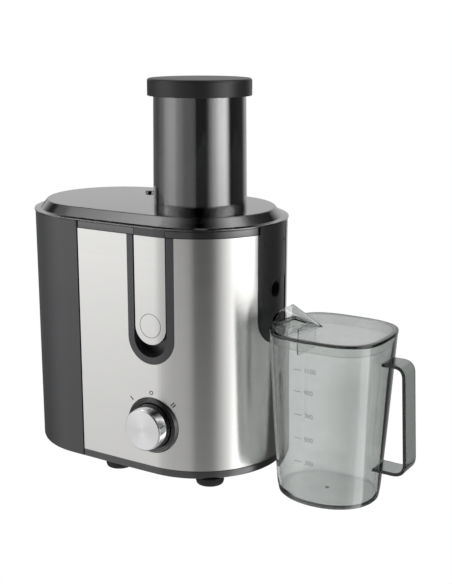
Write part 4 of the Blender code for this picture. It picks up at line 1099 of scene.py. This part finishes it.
def world():
    """Studio light: white to the eye, with softboxes and dark flags round the object."""
    sky = bpy.data.worlds.new("studio")
    bpy.context.scene.world = sky
    sky.use_nodes = True
    nodes = sky.node_tree.nodes

    def calc(operation, *values):
        return math_node(nodes, operation, *values)

    place = add(nodes, "TexCoord")
    parts = add(nodes, "SeparateXYZ")
    link(place.outputs["Generated"], parts.inputs["Vector"])
    east, north, rise = (parts.outputs[axis] for axis in "XYZ")
    share = calc("MULTIPLY_ADD", calc("ARCTAN2", east, calc("MULTIPLY", north, -1.0)), 1 / (2 * math.pi), 0.5)
    low, high, strips, below = (level_ramp(nodes, share, table) for table in (LOW, HIGH, STRIPS, BELOW))
    sink = add(nodes, "MapRange", From_Min=GLOW[0], From_Max=GLOW[1], To_Max=GLOW[2])
    climb = add(nodes, "MapRange", From_Min=HORIZON[0], From_Max=HORIZON[1])
    climb.interpolation_type = "SMOOTHSTEP"
    link(rise, sink.inputs["Value"])
    link(rise, climb.inputs["Value"])
    low = calc("MULTIPLY_ADD", calc("SUBTRACT", below, low), sink.outputs["Result"], low)
    broad = calc("MULTIPLY_ADD", calc("SUBTRACT", high, low), climb.outputs["Result"], low)
    height = calc("DIVIDE", calc("ADD", rise, -STRIP_MIDDLE), STRIP_SPREAD)
    fade = calc("EXPONENT", calc("MULTIPLY", calc("MULTIPLY", height, height), -1.0))
    total = calc("MULTIPLY", calc("MULTIPLY_ADD", strips, fade, broad), BRIGHTEST)
    # what is seen straight, or straight through clear plastic, is white
    paths = add(nodes, "LightPath").outputs
    straight = calc("LESS_THAN", calc("ADD", paths["Glossy Depth"], paths["Diffuse Depth"]), 0.5)
    through = calc("MULTIPLY", paths["Is Transmission Ray"], straight)
    seen = calc("MAXIMUM", paths["Is Camera Ray"], through)
    lit = calc("MULTIPLY_ADD", total, calc("SUBTRACT", 1.0, seen), seen)
    background = fill(nodes["Background"], {"Color": (1, 1, 1, 1)})
    link(lit, background.inputs["Strength"])


def camera():
    data = bpy.data.cameras.new("camera")
    data.lens, data.sensor_width = 65.2, 36.0
    data.clip_end = 20.0
    cam = new_object("camera", data)
    cam.location = (0.5863, -0.92795, 0.4642)
    cam.rotation_euler = (math.radians(90 - 13.98), math.radians(-0.07), math.radians(31.9))
    bpy.context.scene.camera = cam


make_looks()
finish_cad_nodes()
base_tray()
steel_wrap()
motor_housing()
feet()
cord_gland()
for latch in SIDES:
    latch_trim(*latch)
    latch_tongue(*latch)
spout_end()
basket()
dial()
lid()
pusher()
pulp_container()
jug_body()
jug_cover()
jug_handle()
dial_marks()
jug_marks()
stage()
world()
camera()
bpy.context.scene.view_settings.view_transform = "Standard"
